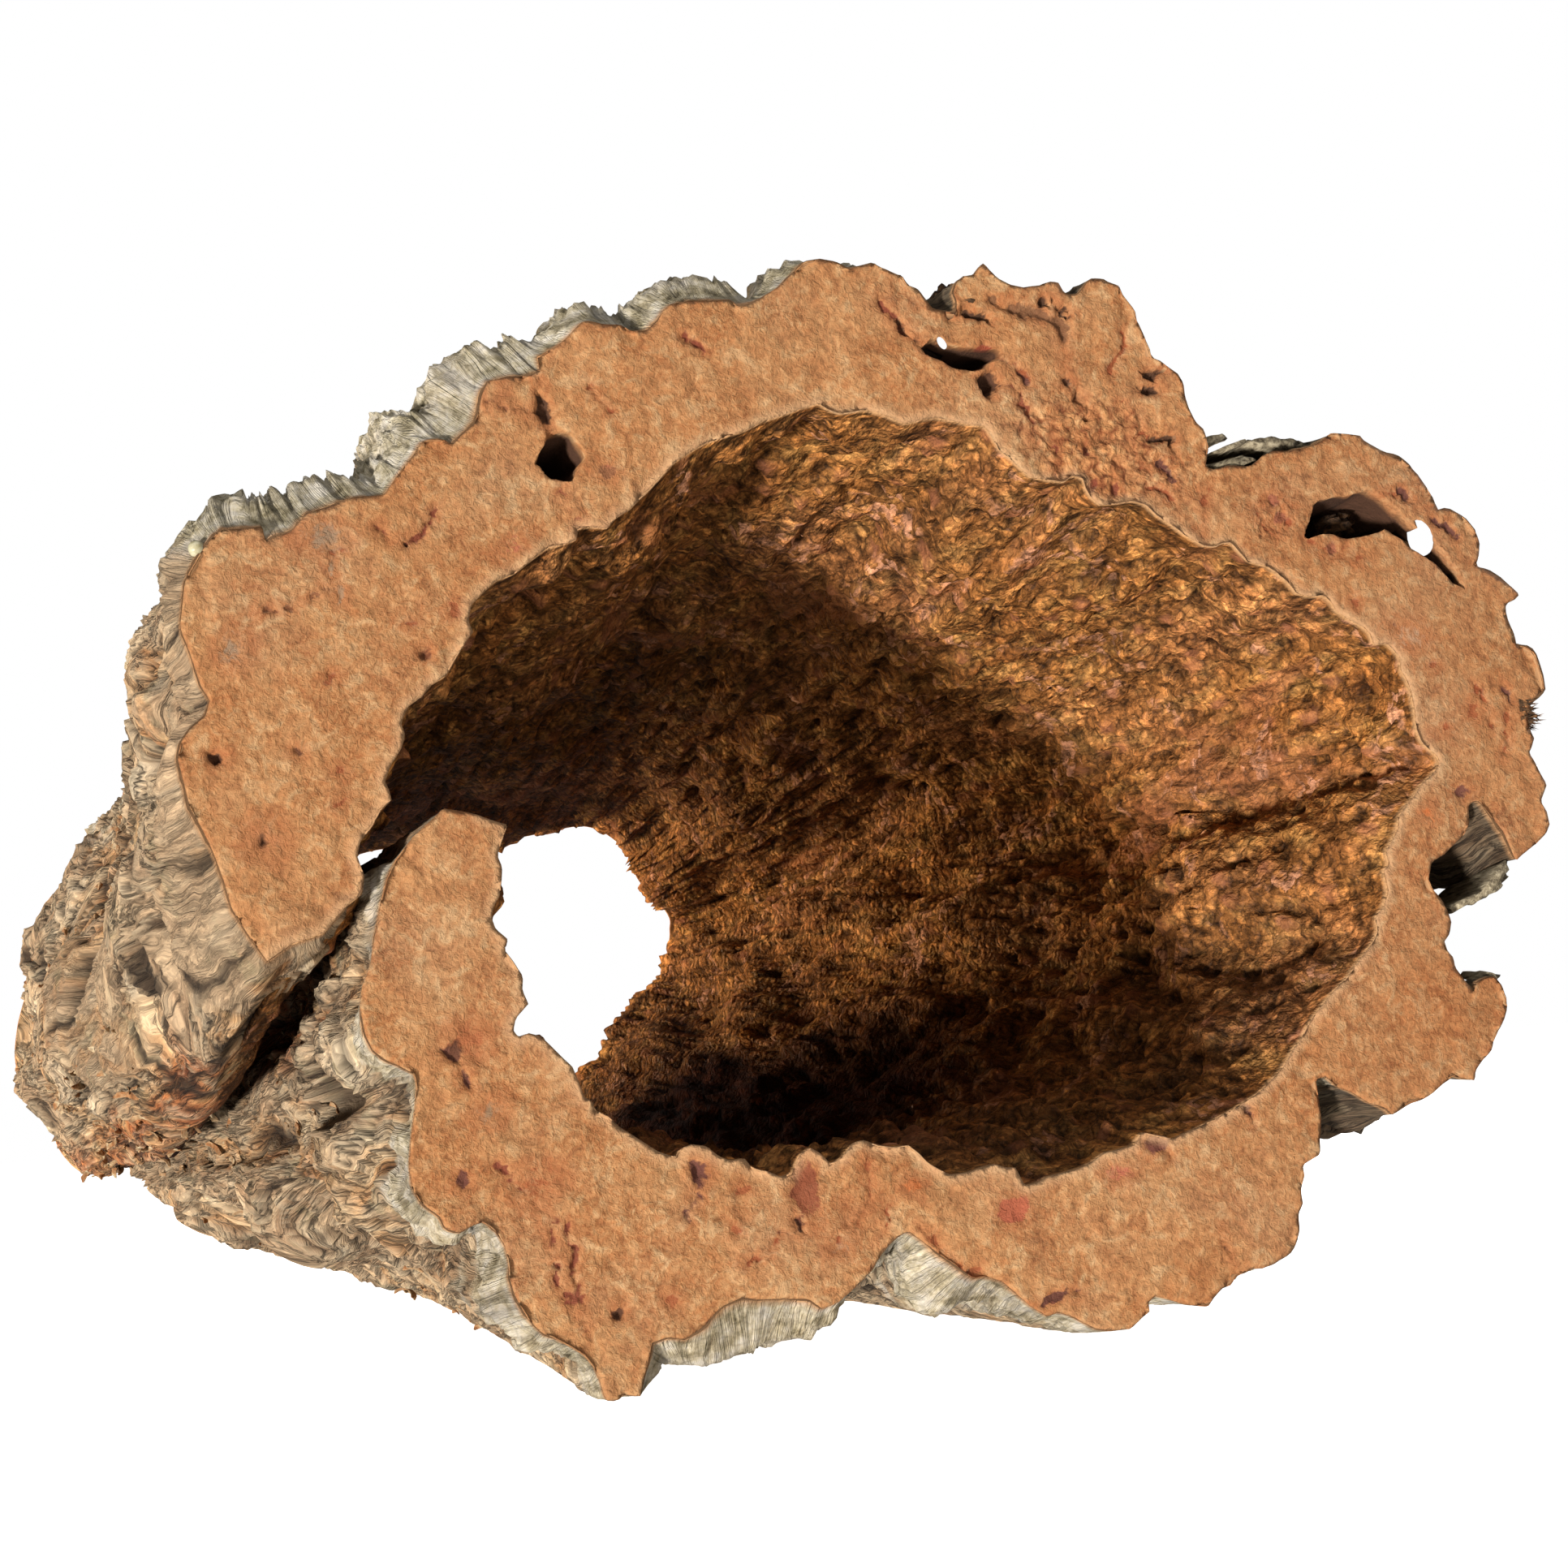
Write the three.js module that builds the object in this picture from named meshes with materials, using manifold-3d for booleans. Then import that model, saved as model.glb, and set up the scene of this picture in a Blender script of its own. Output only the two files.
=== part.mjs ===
// A hollow branch round of virgin cork, lying on its side.
// One sheet of bark, grown as one piece, is rolled into a tube along +Y. Both ends are sawn flat.
// The sheet's outer lip laps over its inner lip on the left and leaves a long seam that is open inside.
// Units are millimetres, +Z is up, and the origin is at the bottom centre of the object.
import * as THREE from "three";
import { mergeVertices } from "three/addons/utils/BufferGeometryUtils.js";
import Module from "manifold-3d";

// Driving dimensions.
const LENGTH = 270;
// The bark's ridges: how deep and wide they are, how far each runs along the branch, how high the
// back of a ridge stands and how deep its furrow cuts. Blocks break the ridges across.
const RIDGE = { depth: 5.4, width: 13, run: 74, crest: 0.55, furrow: 1.6 };
const BLOCK = { height: 0.45, width: 22, run: 24 };
// The lumps of the inner wall.
const LUMP = { depth: 3.2, width: 20, run: 38 };
// How far the ridges and lumps wander sideways along the length.
const WANDER = { reach: 5, width: 40, run: 60 };
// The relief fades in behind the near saw cut, and the knots of the bark start in a few millimetres.
const SAWN_EDGE_RUN = 26;
const KNOT_EDGE_RUN = 5;
// The bark is worn smooth below this height, where the branch lies on the ground.
const WORN_HEIGHT = 16;

// Places along the length where the section is drawn, from the near sawn end to the far one.
const STATIONS = [
  0, 4.5, 10, 18, 29, 42, 56, 71, 86, 102, 118, 135, 152, 169, 186, 203, 220, 237, 254, 265, LENGTH,
];

// The section's outside, clockwise from the tip of the outer lip to the tip of the inner lip.
// Each stretch gives [x, z] points of the near end, and the same stretch of the far end.
// pace says how early along the length the near shape gives way to the far one, and relief is how
// deeply the stretch is ridged.
const OUTSIDE = [
  // The outer lip and the left side.
  {
    pace: [3.2, 1.1],
    relief: 0.8,
    near: [
      [-82.6, 52.3], [-86.1, 58.3], [-87.4, 63.5], [-90, 69.8], [-91, 75.2], [-89.5, 78.5],
      [-87.2, 81.7], [-89.2, 87.6], [-90, 90.5], [-89.2, 95.1], [-87, 99], [-84.7, 101.2],
    ],
    far: [[-86, 30], [-91.5, 38], [-94, 48], [-94.5, 58], [-93.6, 67], [-90.5, 77], [-86, 85], [-80, 93]],
  },
  // The left shoulder.
  {
    pace: [1.1, 1],
    relief: 1,
    near: [
      [-80.2, 101.3], [-77, 101.2], [-73, 103.8], [-66, 105.4], [-61.3, 111.7], [-57.6, 111.6],
      [-54.1, 115.7], [-52.7, 119.2], [-46.2, 120.7],
    ],
    far: [[-75, 101], [-69.5, 108], [-60, 113], [-49, 116.5]],
  },
  // The crown.
  {
    pace: [1, 1],
    relief: 1,
    near: [
      [-43.3, 124.4], [-39.7, 127.3], [-34.4, 126.2], [-30.1, 128.9], [-26.6, 130.3], [-21.2, 130.6],
      [-16.1, 131.6], [-10.7, 136], [-6.3, 136.2], [-1.3, 136], [3.2, 133.6], [6.5, 130.4],
      [9.9, 130.8], [10.6, 134.2], [14.4, 136.8], [17.9, 134.2], [23.8, 134.9], [26.3, 133.1],
      [29.7, 135.4], [34, 134.7], [36.2, 130],
    ],
    far: [[-36, 119.5], [-22, 121], [-8, 121], [5, 119.5], [17, 118], [27, 115]],
  },
  // The right shoulder.
  {
    pace: [1, 1],
    relief: 1,
    near: [
      [37.8, 125], [42.2, 121.5], [43.4, 116.2], [45, 113], [44.3, 110.2], [51.3, 110.3],
      [57.2, 112.4], [64.5, 115.1], [69.1, 114.8], [75, 111.8], [78.9, 107.6], [80.2, 104.4],
      [84.9, 103.1], [86.6, 99.7], [85.5, 96.5],
    ],
    far: [[35, 111], [43, 106], [51, 100], [58, 92.5], [63, 85]],
  },
  // The right side.
  {
    pace: [1, 1.2],
    relief: 1,
    near: [
      [89, 94.8], [92.2, 92.3], [89.4, 89.4], [90.4, 85.1], [93.7, 83.6], [94.4, 78.9],
      [91, 75.9], [91.4, 71.9], [90.3, 70], [92.6, 65.5], [91.2, 63.2], [92.2, 60],
      [88.2, 56.7], [85.8, 55.2],
    ],
    far: [[67, 77], [70, 68], [71, 59], [69.5, 50]],
  },
  // The split right flank.
  {
    pace: [1.6, 2],
    relief: 0.9,
    near: [
      [84.4, 59.2], [80.8, 63.8], [79.1, 62.4], [78, 59.2], [72.1, 55.8], [71.9, 52],
      [74.1, 47.6], [72.9, 43.7], [76.4, 38.6], [78.2, 39.7], [80.9, 38.6], [81.3, 35.4],
      [77.9, 30], [74.7, 26.3], [71.4, 27.2], [66, 24.5], [61.2, 22.9], [57.7, 24.8],
      [53.3, 27.2], [50.2, 28.3],
    ],
    far: [[66.5, 42], [61, 34.5], [55, 27.5], [48, 21]],
  },
  // The right foot.
  {
    pace: [2, 1.2],
    relief: 0.8,
    near: [
      [50.1, 23.6], [49.3, 18.9], [46.9, 16.5], [46.1, 13], [45.2, 9.8], [43.2, 6.9],
      [39, 5.5], [34.4, 4], [29.6, 1.9], [24.9, 3.4], [22.5, 2.1], [19.5, 0], [14.8, 0],
    ],
    far: [[42, 14], [35, 8], [28, 3.5], [22, 0], [17, 0]],
  },
  // The notch between the feet.
  {
    pace: [1.6, 1.3],
    relief: 0.7,
    near: [
      [12, 2.6], [8.4, 3.1], [2.8, 7.9], [-1, 8.7], [-5.1, 12], [-8.9, 15.2], [-12.5, 13.2],
      [-16.6, 9.2], [-20.8, 7.4], [-25.7, 9.1], [-30.6, 9.8], [-35.3, 7.2], [-39.9, 6.2],
      [-42.2, 4], [-43.8, 0], [-47.9, 0],
    ],
    far: [[12, 2], [6, 5], [-1, 7], [-8, 6], [-14, 2.5], [-18, 0], [-24, 0]],
  },
  // The left foot.
  {
    pace: [1.3, 2.4],
    relief: 0.8,
    near: [
      [-49, 4.2], [-53.5, 8], [-56.9, 11.9], [-57.9, 16.9], [-60.5, 21.5], [-63.3, 20.6],
      [-64.8, 21.2], [-68.2, 26],
    ],
    far: [[-33, 4], [-43, 9], [-53, 13], [-62, 17.5], [-69, 23.5]],
  },
  // The outside of the inner lip.
  {
    pace: [2.4, 1.4],
    relief: 0.35,
    near: [
      [-68.4, 28.4], [-67.2, 35], [-67.1, 38.6], [-71.6, 41.6], [-72.7, 46.4], [-71.1, 51.5],
      [-70.2, 55.7], [-68.7, 60.8], [-66.6, 64], [-61.8, 68.5],
    ],
    far: [[-72, 28], [-71, 35], [-69, 43], [-66, 51], [-60, 57]],
  },
];

// The section's inside, from the tip of the inner lip back to the tip of the outer lip.
const INSIDE = [
  // The inside of the inner lip.
  {
    pace: [1.4, 1],
    relief: 0.6,
    near: [
      [-57.8, 67.6], [-54.3, 66.3], [-55.8, 62.8], [-55.5, 59.6], [-57, 55.7], [-55.3, 53.1],
      [-53.8, 48.7], [-53.4, 45.5], [-55.4, 42.6], [-52.2, 41.7], [-48.2, 36.3], [-44.8, 31.9],
      [-40.8, 28.5], [-37.2, 26.6],
    ],
    far: [[-54, 55], [-52, 47], [-49, 38], [-43, 29], [-35, 23]],
  },
  // The floor of the hollow.
  {
    pace: [1, 1],
    relief: 1,
    near: [
      [-33.4, 27.5], [-28.9, 25.7], [-24.5, 23.1], [-20.5, 26.2], [-18.1, 24], [-13.8, 26.5],
      [-7.8, 25.3], [-2.9, 21.3], [3.4, 22], [7.1, 19], [12.9, 20.1], [20.1, 22.1],
      [24.1, 24], [28.2, 22.7], [34.6, 24.7],
    ],
    far: [[-26, 20.5], [-16, 20], [-6, 22], [4, 25.5], [13, 30.5], [22, 37]],
  },
  // The right wall of the hollow.
  {
    pace: [1, 1],
    relief: 1,
    near: [
      [41.6, 27.5], [46.3, 31.3], [52, 37.5], [56.7, 41.2], [62.4, 47.1], [64.4, 55.1],
      [67.8, 62], [73.6, 67.3], [75, 70.3],
    ],
    far: [[30, 42], [36.5, 48], [41.5, 54], [46, 60], [50, 66], [52.5, 71]],
  },
  // The right shoulder of the hollow.
  {
    pace: [1, 1],
    relief: 1,
    near: [
      [72.4, 73.7], [72.3, 78.7], [70.5, 84.6], [66.9, 87], [61.9, 90.3], [56, 92.8],
      [51.8, 96.5], [46.8, 99.7], [41.8, 99.7], [36, 103.3], [32.6, 105.3], [26.5, 105.8],
    ],
    far: [[53.5, 76], [51, 81], [47, 85.5], [44.5, 90], [39, 94]],
  },
  // The crown of the hollow.
  {
    pace: [1, 1],
    relief: 1,
    near: [
      [25.6, 108.3], [20.5, 108], [15.3, 110.9], [12.2, 115.1], [5.5, 116.1], [1, 115.2],
      [-4.3, 116.9], [-10.5, 117.6], [-18.1, 115.2], [-25.9, 112.3], [-31.7, 108.2], [-36.2, 104],
    ],
    far: [[33.5, 97.5], [26, 98.7], [18, 98], [8, 97.5], [-4, 96], [-16, 94], [-27, 91.5]],
  },
  // The left wall of the hollow.
  {
    pace: [1, 1.8],
    relief: 0.7,
    near: [
      [-41.8, 101.7], [-44.7, 99.6], [-51.2, 96], [-56.7, 92.3], [-57.6, 88], [-60.2, 84],
      [-64.9, 80.5], [-66.1, 75.5], [-68.2, 71.9], [-67.6, 69.6], [-71.5, 65], [-71.2, 61.2],
    ],
    far: [[-38, 89], [-49, 85], [-58, 79.5], [-65, 72], [-70.5, 63.5], [-74, 54]],
  },
  // The inside of the outer lip.
  {
    pace: [1.8, 3.2],
    relief: 0.35,
    near: [[-71.8, 59], [-73.3, 57.5], [-76.2, 55], [-79.8, 53.6]],
    far: [[-76, 45], [-77, 37], [-79.5, 31], [-82.5, 28.5]],
  },
];

// Knots, burrs and hollows of the bark: place on the near section, distance from the near end,
// reach around and along, and height, negative for a hollow.
const SWELLS = [
  { x: -76, z: 103, along: 9, around: 11, run: 15, height: 5 },
  { x: -62, z: 111, along: 9, around: 11, run: 15, height: 3.8 },
  { x: -49, z: 121, along: 9, around: 11, run: 16, height: 3.4 },
  { x: -35, z: 127, along: 9, around: 12, run: 16, height: 3.8 },
  { x: -23, z: 131, along: 9, around: 9, run: 15, height: 2.4 },
  { x: -88, z: 90, along: 135, around: 13, run: 50, height: -4 },
  { x: -91, z: 73, along: 150, around: 12, run: 60, height: 4.5 },
  { x: -86, z: 58, along: 140, around: 7, run: 15, height: -7 },
  { x: -87, z: 62, along: 27, around: 5, run: 7, height: -5 },
  { x: -57, z: 11, along: 12, around: 9, run: 18, height: 2 },
  { x: -66, z: 24, along: 80, around: 10, run: 40, height: 2 },
  { x: -69, z: 60, along: 16, around: 7, run: 14, height: 2 },
  { x: -67, z: 33, along: 46, around: 10, run: 26, height: 2.5 },
  { x: -30, z: 9, along: 9, around: 12, run: 18, height: 6 },
  { x: -2, z: 9, along: 9, around: 9, run: 16, height: 4 },
  { x: 92, z: 80, along: 70, around: 16, run: 34, height: 4 },
  { x: 60, z: 113, along: 110, around: 18, run: 26, height: 6 },
  { x: 80, z: 36, along: 120, around: 16, run: 40, height: 5 },
  { x: -10, z: 134, along: 175, around: 20, run: 22, height: 6 },
];

// Openings through or into the bark, each as an outline in its own plane.
const KNOT_POCKET = [
  [58.4, 100.7], [60.5, 105], [64.8, 106.3], [69.9, 107], [73.4, 104.6], [77, 101.4], [79.3, 99.4],
  [80.2, 96.6], [76.7, 97.4], [73.8, 100.1], [71.1, 101.4], [65, 100.3], [61.2, 101],
];
const KNOT_POCKET_DEPTH = 24;
const KNOT_VENT = { from: [73.5, 96.5], to: [86, 112], along: 15.5, throat: 4.6, mouth: 6.8, sides: 8 };
const WORM_HOLE = [
  [-47.6, 109.5], [-45.8, 113.2], [-42.6, 113.4], [-41.4, 110.4], [-43.2, 107.2], [-46, 107.4],
];
const WORM_HOLE_DEPTH = 20;
const SLIT_POCKET = [[4, 123.4], [7.5, 125.6], [12.5, 126], [16, 124.6], [12.4, 122.8], [7.6, 122.4]];
const SLIT_POCKET_DEPTH = 14;
const BRANCH_KNOT = {
  x: -73, z: 35, along: 48, radius: 15, squash: 0.52, ragged: 0.14, depth: 16, sides: 11,
};
// A pocket keeps its outline for a share of its depth and then narrows to its floor.
const POCKET_WALL_SHARE = 0.6;
const POCKET_FLOOR_SCALE = 0.55;
// How far a cutting body starts outside the surface that it cuts.
const BITE = 1.5;

// The seeds of the noises, so that every build gives the same branch.
const SEED = { ridge: 1, block: 2, lump: 3, wander: 5, knot: 9 };

// A repeatable pseudo-random value for a pair of whole numbers, from -1 to 1.
function speckle(i, j, seed) {
  const s = Math.sin(i * 127.1 + j * 311.7 + seed * 74.7) * 43758.5453;
  return 2 * (s - Math.floor(s)) - 1;
}

// Smooth noise on a plane, from -1 to 1.
function noise(u, v, seed) {
  const i = Math.floor(u);
  const j = Math.floor(v);
  const a = THREE.MathUtils.smoothstep(u - i, 0, 1);
  const b = THREE.MathUtils.smoothstep(v - j, 0, 1);
  const low = THREE.MathUtils.lerp(speckle(i, j, seed), speckle(i + 1, j, seed), a);
  const high = THREE.MathUtils.lerp(speckle(i, j + 1, seed), speckle(i + 1, j + 1, seed), a);
  return THREE.MathUtils.lerp(low, high, b);
}

// The columns of the loft: one for each near point, with its partner on the far end.
function makeColumns(stretches, isOutside) {
  const farPoints = stretches.flatMap((stretch) => stretch.far);
  const farCurve = new THREE.CatmullRomCurve3(
    farPoints.map(([x, z]) => new THREE.Vector3(x, 0, z)), false, "centripetal");
  const columns = [];
  let farFrom = 0;
  for (const stretch of stretches) {
    const farTo = farFrom + stretch.far.length - (farFrom === 0 ? 1 : 0);
    const last = stretch.near.length - 1;
    stretch.near.forEach(([x, z], k) => {
      const share = farFrom === 0 ? k / last : (k + 1) / (last + 1);
      const partner = farCurve.getPoint(THREE.MathUtils.lerp(farFrom, farTo, share) / (farPoints.length - 1));
      columns.push({
        near: new THREE.Vector2(x, z),
        far: new THREE.Vector2(partner.x, partner.z),
        pace: THREE.MathUtils.lerp(stretch.pace[0], stretch.pace[1], share),
        relief: stretch.relief,
        isOutside,
      });
    });
    farFrom = farTo;
  }
  return columns;
}

// The whole section as columns, each with its distance around the near end.
function sectionColumns() {
  const columns = [...makeColumns(OUTSIDE, true), ...makeColumns(INSIDE, false)];
  let around = 0;
  columns.forEach((column, k) => {
    if (k > 0) around += column.near.distanceTo(columns[k - 1].near);
    column.around = around;
  });
  return columns;
}

// Ridges of bark or lumps of the inner wall, as a height over the smooth section.
function reliefAt(column, along) {
  const wander = WANDER.reach * noise(column.around / WANDER.width, along / WANDER.run, SEED.wander);
  const place = column.around + wander;
  if (column.isOutside) {
    const furrow = Math.abs(noise(place / RIDGE.width, along / RIDGE.run, SEED.ridge));
    const block = noise(column.around / BLOCK.width, along / BLOCK.run, SEED.block);
    return RIDGE.depth * column.relief * (RIDGE.crest - RIDGE.furrow * furrow + BLOCK.height * block);
  }
  return LUMP.depth * column.relief * noise(place / LUMP.width, along / LUMP.run, SEED.lump);
}

function swellAt(column, along) {
  let height = 0;
  for (const swell of SWELLS) {
    const around = Math.hypot(column.near.x - swell.x, column.near.y - swell.z) / swell.around;
    const run = (along - swell.along) / swell.run;
    height += swell.height * Math.exp(-around * around - run * run);
  }
  return height;
}

// The section at a distance from the near end, as points of the x-z plane.
function sectionAt(columns, along) {
  const t = along / LENGTH;
  const smooth = columns.map((column) => {
    const share = 1 - Math.pow(1 - t, column.pace);
    return column.near.clone().lerp(column.far, share);
  });
  const fade = THREE.MathUtils.smoothstep(along, 0, SAWN_EDGE_RUN);
  const edge = THREE.MathUtils.smoothstep(along, 0, KNOT_EDGE_RUN);
  return smooth.map((point, k) => {
    const before = smooth[(k + smooth.length - 1) % smooth.length];
    const after = smooth[(k + 1) % smooth.length];
    const tangent = after.clone().sub(before).normalize();
    const outward = new THREE.Vector2(-tangent.y, tangent.x);
    const column = columns[k];
    const worn = column.isOutside ? THREE.MathUtils.clamp(point.y / WORN_HEIGHT, 0, 1) : 1;
    let height = fade * worn * reliefAt(column, along);
    if (column.isOutside) height += edge * swellAt(column, along);
    const moved = point.clone().addScaledVector(outward, height);
    moved.y = column.isOutside ? Math.max(moved.y, 0) : moved.y;
    return moved;
  });
}

// The triangles of a flat end. In the x-z plane a counter-clockwise triangle faces -Y.
function endFaces(outline, first, facesBack) {
  return THREE.ShapeUtils.triangulateShape(outline, []).map(([i, j, k]) => {
    const turnsLeft = THREE.ShapeUtils.area([outline[i], outline[j], outline[k]]) > 0;
    const face = [first + i, first + j, first + k];
    return turnsLeft === facesBack ? face : face.reverse();
  });
}

// A closed body through sections along +Y. Each section is { along, outline }, and every outline
// runs clockwise in the x-z plane with the same number of points.
function loft(sections) {
  const count = sections[0].outline.length;
  const positions = sections.flatMap(({ along, outline }) => outline.flatMap((p) => [p.x, along, p.y]));
  const faces = [];
  for (let s = 0; s < sections.length - 1; s += 1) {
    for (let k = 0; k < count; k += 1) {
      const a = s * count + k;
      const b = s * count + ((k + 1) % count);
      faces.push([a, b, b + count], [a, b + count, a + count]);
    }
  }
  faces.push(...endFaces(sections[0].outline, 0, true));
  faces.push(...endFaces(sections.at(-1).outline, (sections.length - 1) * count, false));
  const geometry = new THREE.BufferGeometry();
  geometry.setAttribute("position", new THREE.Float32BufferAttribute(positions, 3));
  geometry.setIndex(faces.flat());
  return geometry;
}

// A pocket sunk along +Y from just outside the plane y = 0, narrower at its floor.
function pocket(points, depth) {
  const outline = points.map(([x, z]) => new THREE.Vector2(x, z));
  if (!THREE.ShapeUtils.isClockWise(outline)) outline.reverse();
  const centre = outline.reduce((sum, p) => sum.add(p), new THREE.Vector2()).divideScalar(outline.length);
  const floor = outline.map((p) => p.clone().lerp(centre, 1 - POCKET_FLOOR_SCALE));
  return loft([
    { along: -BITE, outline },
    { along: depth * POCKET_WALL_SHARE, outline },
    { along: depth, outline: floor },
  ]);
}

const wasm = await Module();
wasm.setup();

function toSolid(geometry) {
  const merged = mergeVertices(geometry);
  return new wasm.Manifold(new wasm.Mesh({
    numProp: 3,
    vertProperties: new Float32Array(merged.attributes.position.array),
    triVerts: new Uint32Array(merged.index.array),
  }));
}

function toGeometry(solid) {
  const mesh = solid.getMesh();
  const geometry = new THREE.BufferGeometry();
  geometry.setAttribute("position", new THREE.BufferAttribute(mesh.vertProperties, 3));
  geometry.setIndex(new THREE.BufferAttribute(mesh.triVerts, 1));
  return geometry;
}

// A round hole behind the thin arch of cork, from the knot pocket out through the bark.
function knotVent() {
  const { along, throat, mouth, sides } = KNOT_VENT;
  const from = new THREE.Vector3(KNOT_VENT.from[0], along, KNOT_VENT.from[1]);
  const to = new THREE.Vector3(KNOT_VENT.to[0], along, KNOT_VENT.to[1]);
  const vent = new THREE.CylinderGeometry(mouth, throat, from.distanceTo(to), sides);
  vent.deleteAttribute("normal");
  vent.deleteAttribute("uv");
  const up = new THREE.Vector3(0, 1, 0);
  const turn = new THREE.Quaternion().setFromUnitVectors(up, to.clone().sub(from).normalize());
  const middle = from.clone().lerp(to, 0.5);
  return vent.applyQuaternion(turn).translate(middle.x, middle.y, middle.z);
}

// The deep knot hole in the bark of the inner lip, sunk along +X.
function branchKnot() {
  const { x, z, along, radius, squash, ragged, depth, sides } = BRANCH_KNOT;
  const points = Array.from({ length: sides }, (_, k) => {
    const angle = (k / sides) * 2 * Math.PI;
    const reach = radius * (1 + ragged * speckle(k, 0, SEED.knot));
    return [reach * Math.cos(angle), reach * squash * Math.sin(angle)];
  });
  return pocket(points, depth).rotateZ(-Math.PI / 2).translate(x, along, z);
}

// The rolled sheet of cork with all its openings, in the same frame as its near sawn end.
function corkBranch() {
  const columns = sectionColumns();
  const sheet = loft(STATIONS.map((along) => ({ along, outline: sectionAt(columns, along) })));
  const openings = [
    pocket(KNOT_POCKET, KNOT_POCKET_DEPTH),
    knotVent(),
    pocket(WORM_HOLE, WORM_HOLE_DEPTH),
    pocket(SLIT_POCKET, SLIT_POCKET_DEPTH),
    branchKnot(),
  ];
  let solid = toSolid(sheet);
  for (const opening of openings) solid = solid.subtract(toSolid(opening));
  return toGeometry(solid);
}

const cork = new THREE.MeshStandardMaterial({ color: 0xb08a5e, roughness: 0.88, metalness: 0 });
cork.name = "virgin cork";
const geometry = corkBranch();
geometry.computeBoundingBox();
const box = geometry.boundingBox;
geometry.translate(-(box.min.x + box.max.x) / 2, -LENGTH / 2, -box.min.z);

const branch = new THREE.Mesh(geometry, cork);
branch.name = "cork_branch";
const model = new THREE.Group();
model.name = "cork branch";
model.add(branch);

export default model;
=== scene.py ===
# %% [markdown]
# # A hollow branch round of virgin cork
# Virgin cork is the first bark of a cork oak. When it is peeled off a branch in one sheet, the sheet
# rolls back into a tube, and its two edges lap over each other. Both ends of this one are sawn flat.
# The solid from the CAD model already has the size, the rolled section and the large ridges. This
# script rebuilds the same section with far more columns and rows, and adds what the solid leaves out:
# the crumbly saw cut, the knobbly inner wall, the cracked and flaking bark, and the finishes.

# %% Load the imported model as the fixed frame
import math

import bpy
import numpy as np
from mathutils import Matrix, Vector, kdtree
from mathutils.geometry import delaunay_2d_cdt


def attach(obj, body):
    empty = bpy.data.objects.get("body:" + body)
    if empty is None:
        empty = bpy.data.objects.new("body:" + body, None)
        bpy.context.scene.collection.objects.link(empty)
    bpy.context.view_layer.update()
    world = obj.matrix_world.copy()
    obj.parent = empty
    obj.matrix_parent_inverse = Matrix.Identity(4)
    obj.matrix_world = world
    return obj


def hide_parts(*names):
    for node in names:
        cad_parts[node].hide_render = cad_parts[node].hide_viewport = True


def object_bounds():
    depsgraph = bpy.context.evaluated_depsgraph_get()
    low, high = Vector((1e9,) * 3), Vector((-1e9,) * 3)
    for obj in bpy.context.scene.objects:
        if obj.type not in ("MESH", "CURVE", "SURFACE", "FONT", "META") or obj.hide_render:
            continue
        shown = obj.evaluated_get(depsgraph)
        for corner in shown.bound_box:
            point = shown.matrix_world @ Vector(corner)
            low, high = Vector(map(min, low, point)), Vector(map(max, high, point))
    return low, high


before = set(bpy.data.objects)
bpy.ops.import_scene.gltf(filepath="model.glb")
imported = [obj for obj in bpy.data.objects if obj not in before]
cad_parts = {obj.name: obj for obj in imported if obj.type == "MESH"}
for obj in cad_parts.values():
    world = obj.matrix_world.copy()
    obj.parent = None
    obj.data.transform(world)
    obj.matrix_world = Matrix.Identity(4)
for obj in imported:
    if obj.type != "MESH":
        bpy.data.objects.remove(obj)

cad_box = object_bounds()
print("CAD box in metres:", [list(corner) for corner in cad_box])

# %% [markdown]
# All shapes below are worked out in millimetres, in the frame in which the near saw cut was drawn:
# x to the right, z up, and "along" counted from the near saw cut towards the far one. The solid was
# then centred on its own box, so one vertex that is easy to find tells how far it was moved.

# %% Find how far the solid was moved from the drawn section
LENGTH = 270.0
TOP_POINT = (14.4, 136.8)

cad_points = np.array([v.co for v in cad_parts["cork_branch"].data.vertices]) * 1000
near_points = cad_points[np.abs(cad_points[:, 1] + LENGTH / 2) < 0.01]
top_vertex = near_points[np.abs(near_points[:, 2] - TOP_POINT[1]).argmin()]
SHIFT_X = top_vertex[0] - TOP_POINT[0]
print(f"the solid stands {SHIFT_X:.3f} mm to the right of the drawn section")


def to_metres(x, along, z):
    """Points of the drawn section as an array of x, y, z in the shared frame."""
    return np.stack([x + SHIFT_X, along - LENGTH / 2, np.maximum(z, 0)], axis=-1) / 1000

# %% [markdown]
# The camera stands in front of the near saw cut, a little to its left and near the ground, and looks
# up and to the right through the hollow. A 54 mm lens on a 36 mm sensor gives the same perspective
# between the near rim and the far opening as the photograph has.

# %% The camera
camera_data = bpy.data.cameras.new("camera")
camera_data.lens = 54
camera_data.sensor_width = 36
camera_data.clip_start = 0.02
camera_data.dof.use_dof = False
camera = bpy.data.objects.new("camera", camera_data)
bpy.context.scene.collection.objects.link(camera)

FORWARD = Vector((0.3578, 0.9250, 0.1277)).normalized()
UP = Vector((0.0367, -0.1506, 0.9879))
right = FORWARD.cross(UP).normalized()
up = right.cross(FORWARD)
turn = Matrix((right, up, -FORWARD)).transposed().to_4x4()
camera.matrix_world = Matrix.Translation((-0.1216 + SHIFT_X / 1000, -0.3981, 0.0334)) @ turn
bpy.context.scene.camera = camera
print("camera at", [round(v, 4) for v in camera.location])

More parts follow.
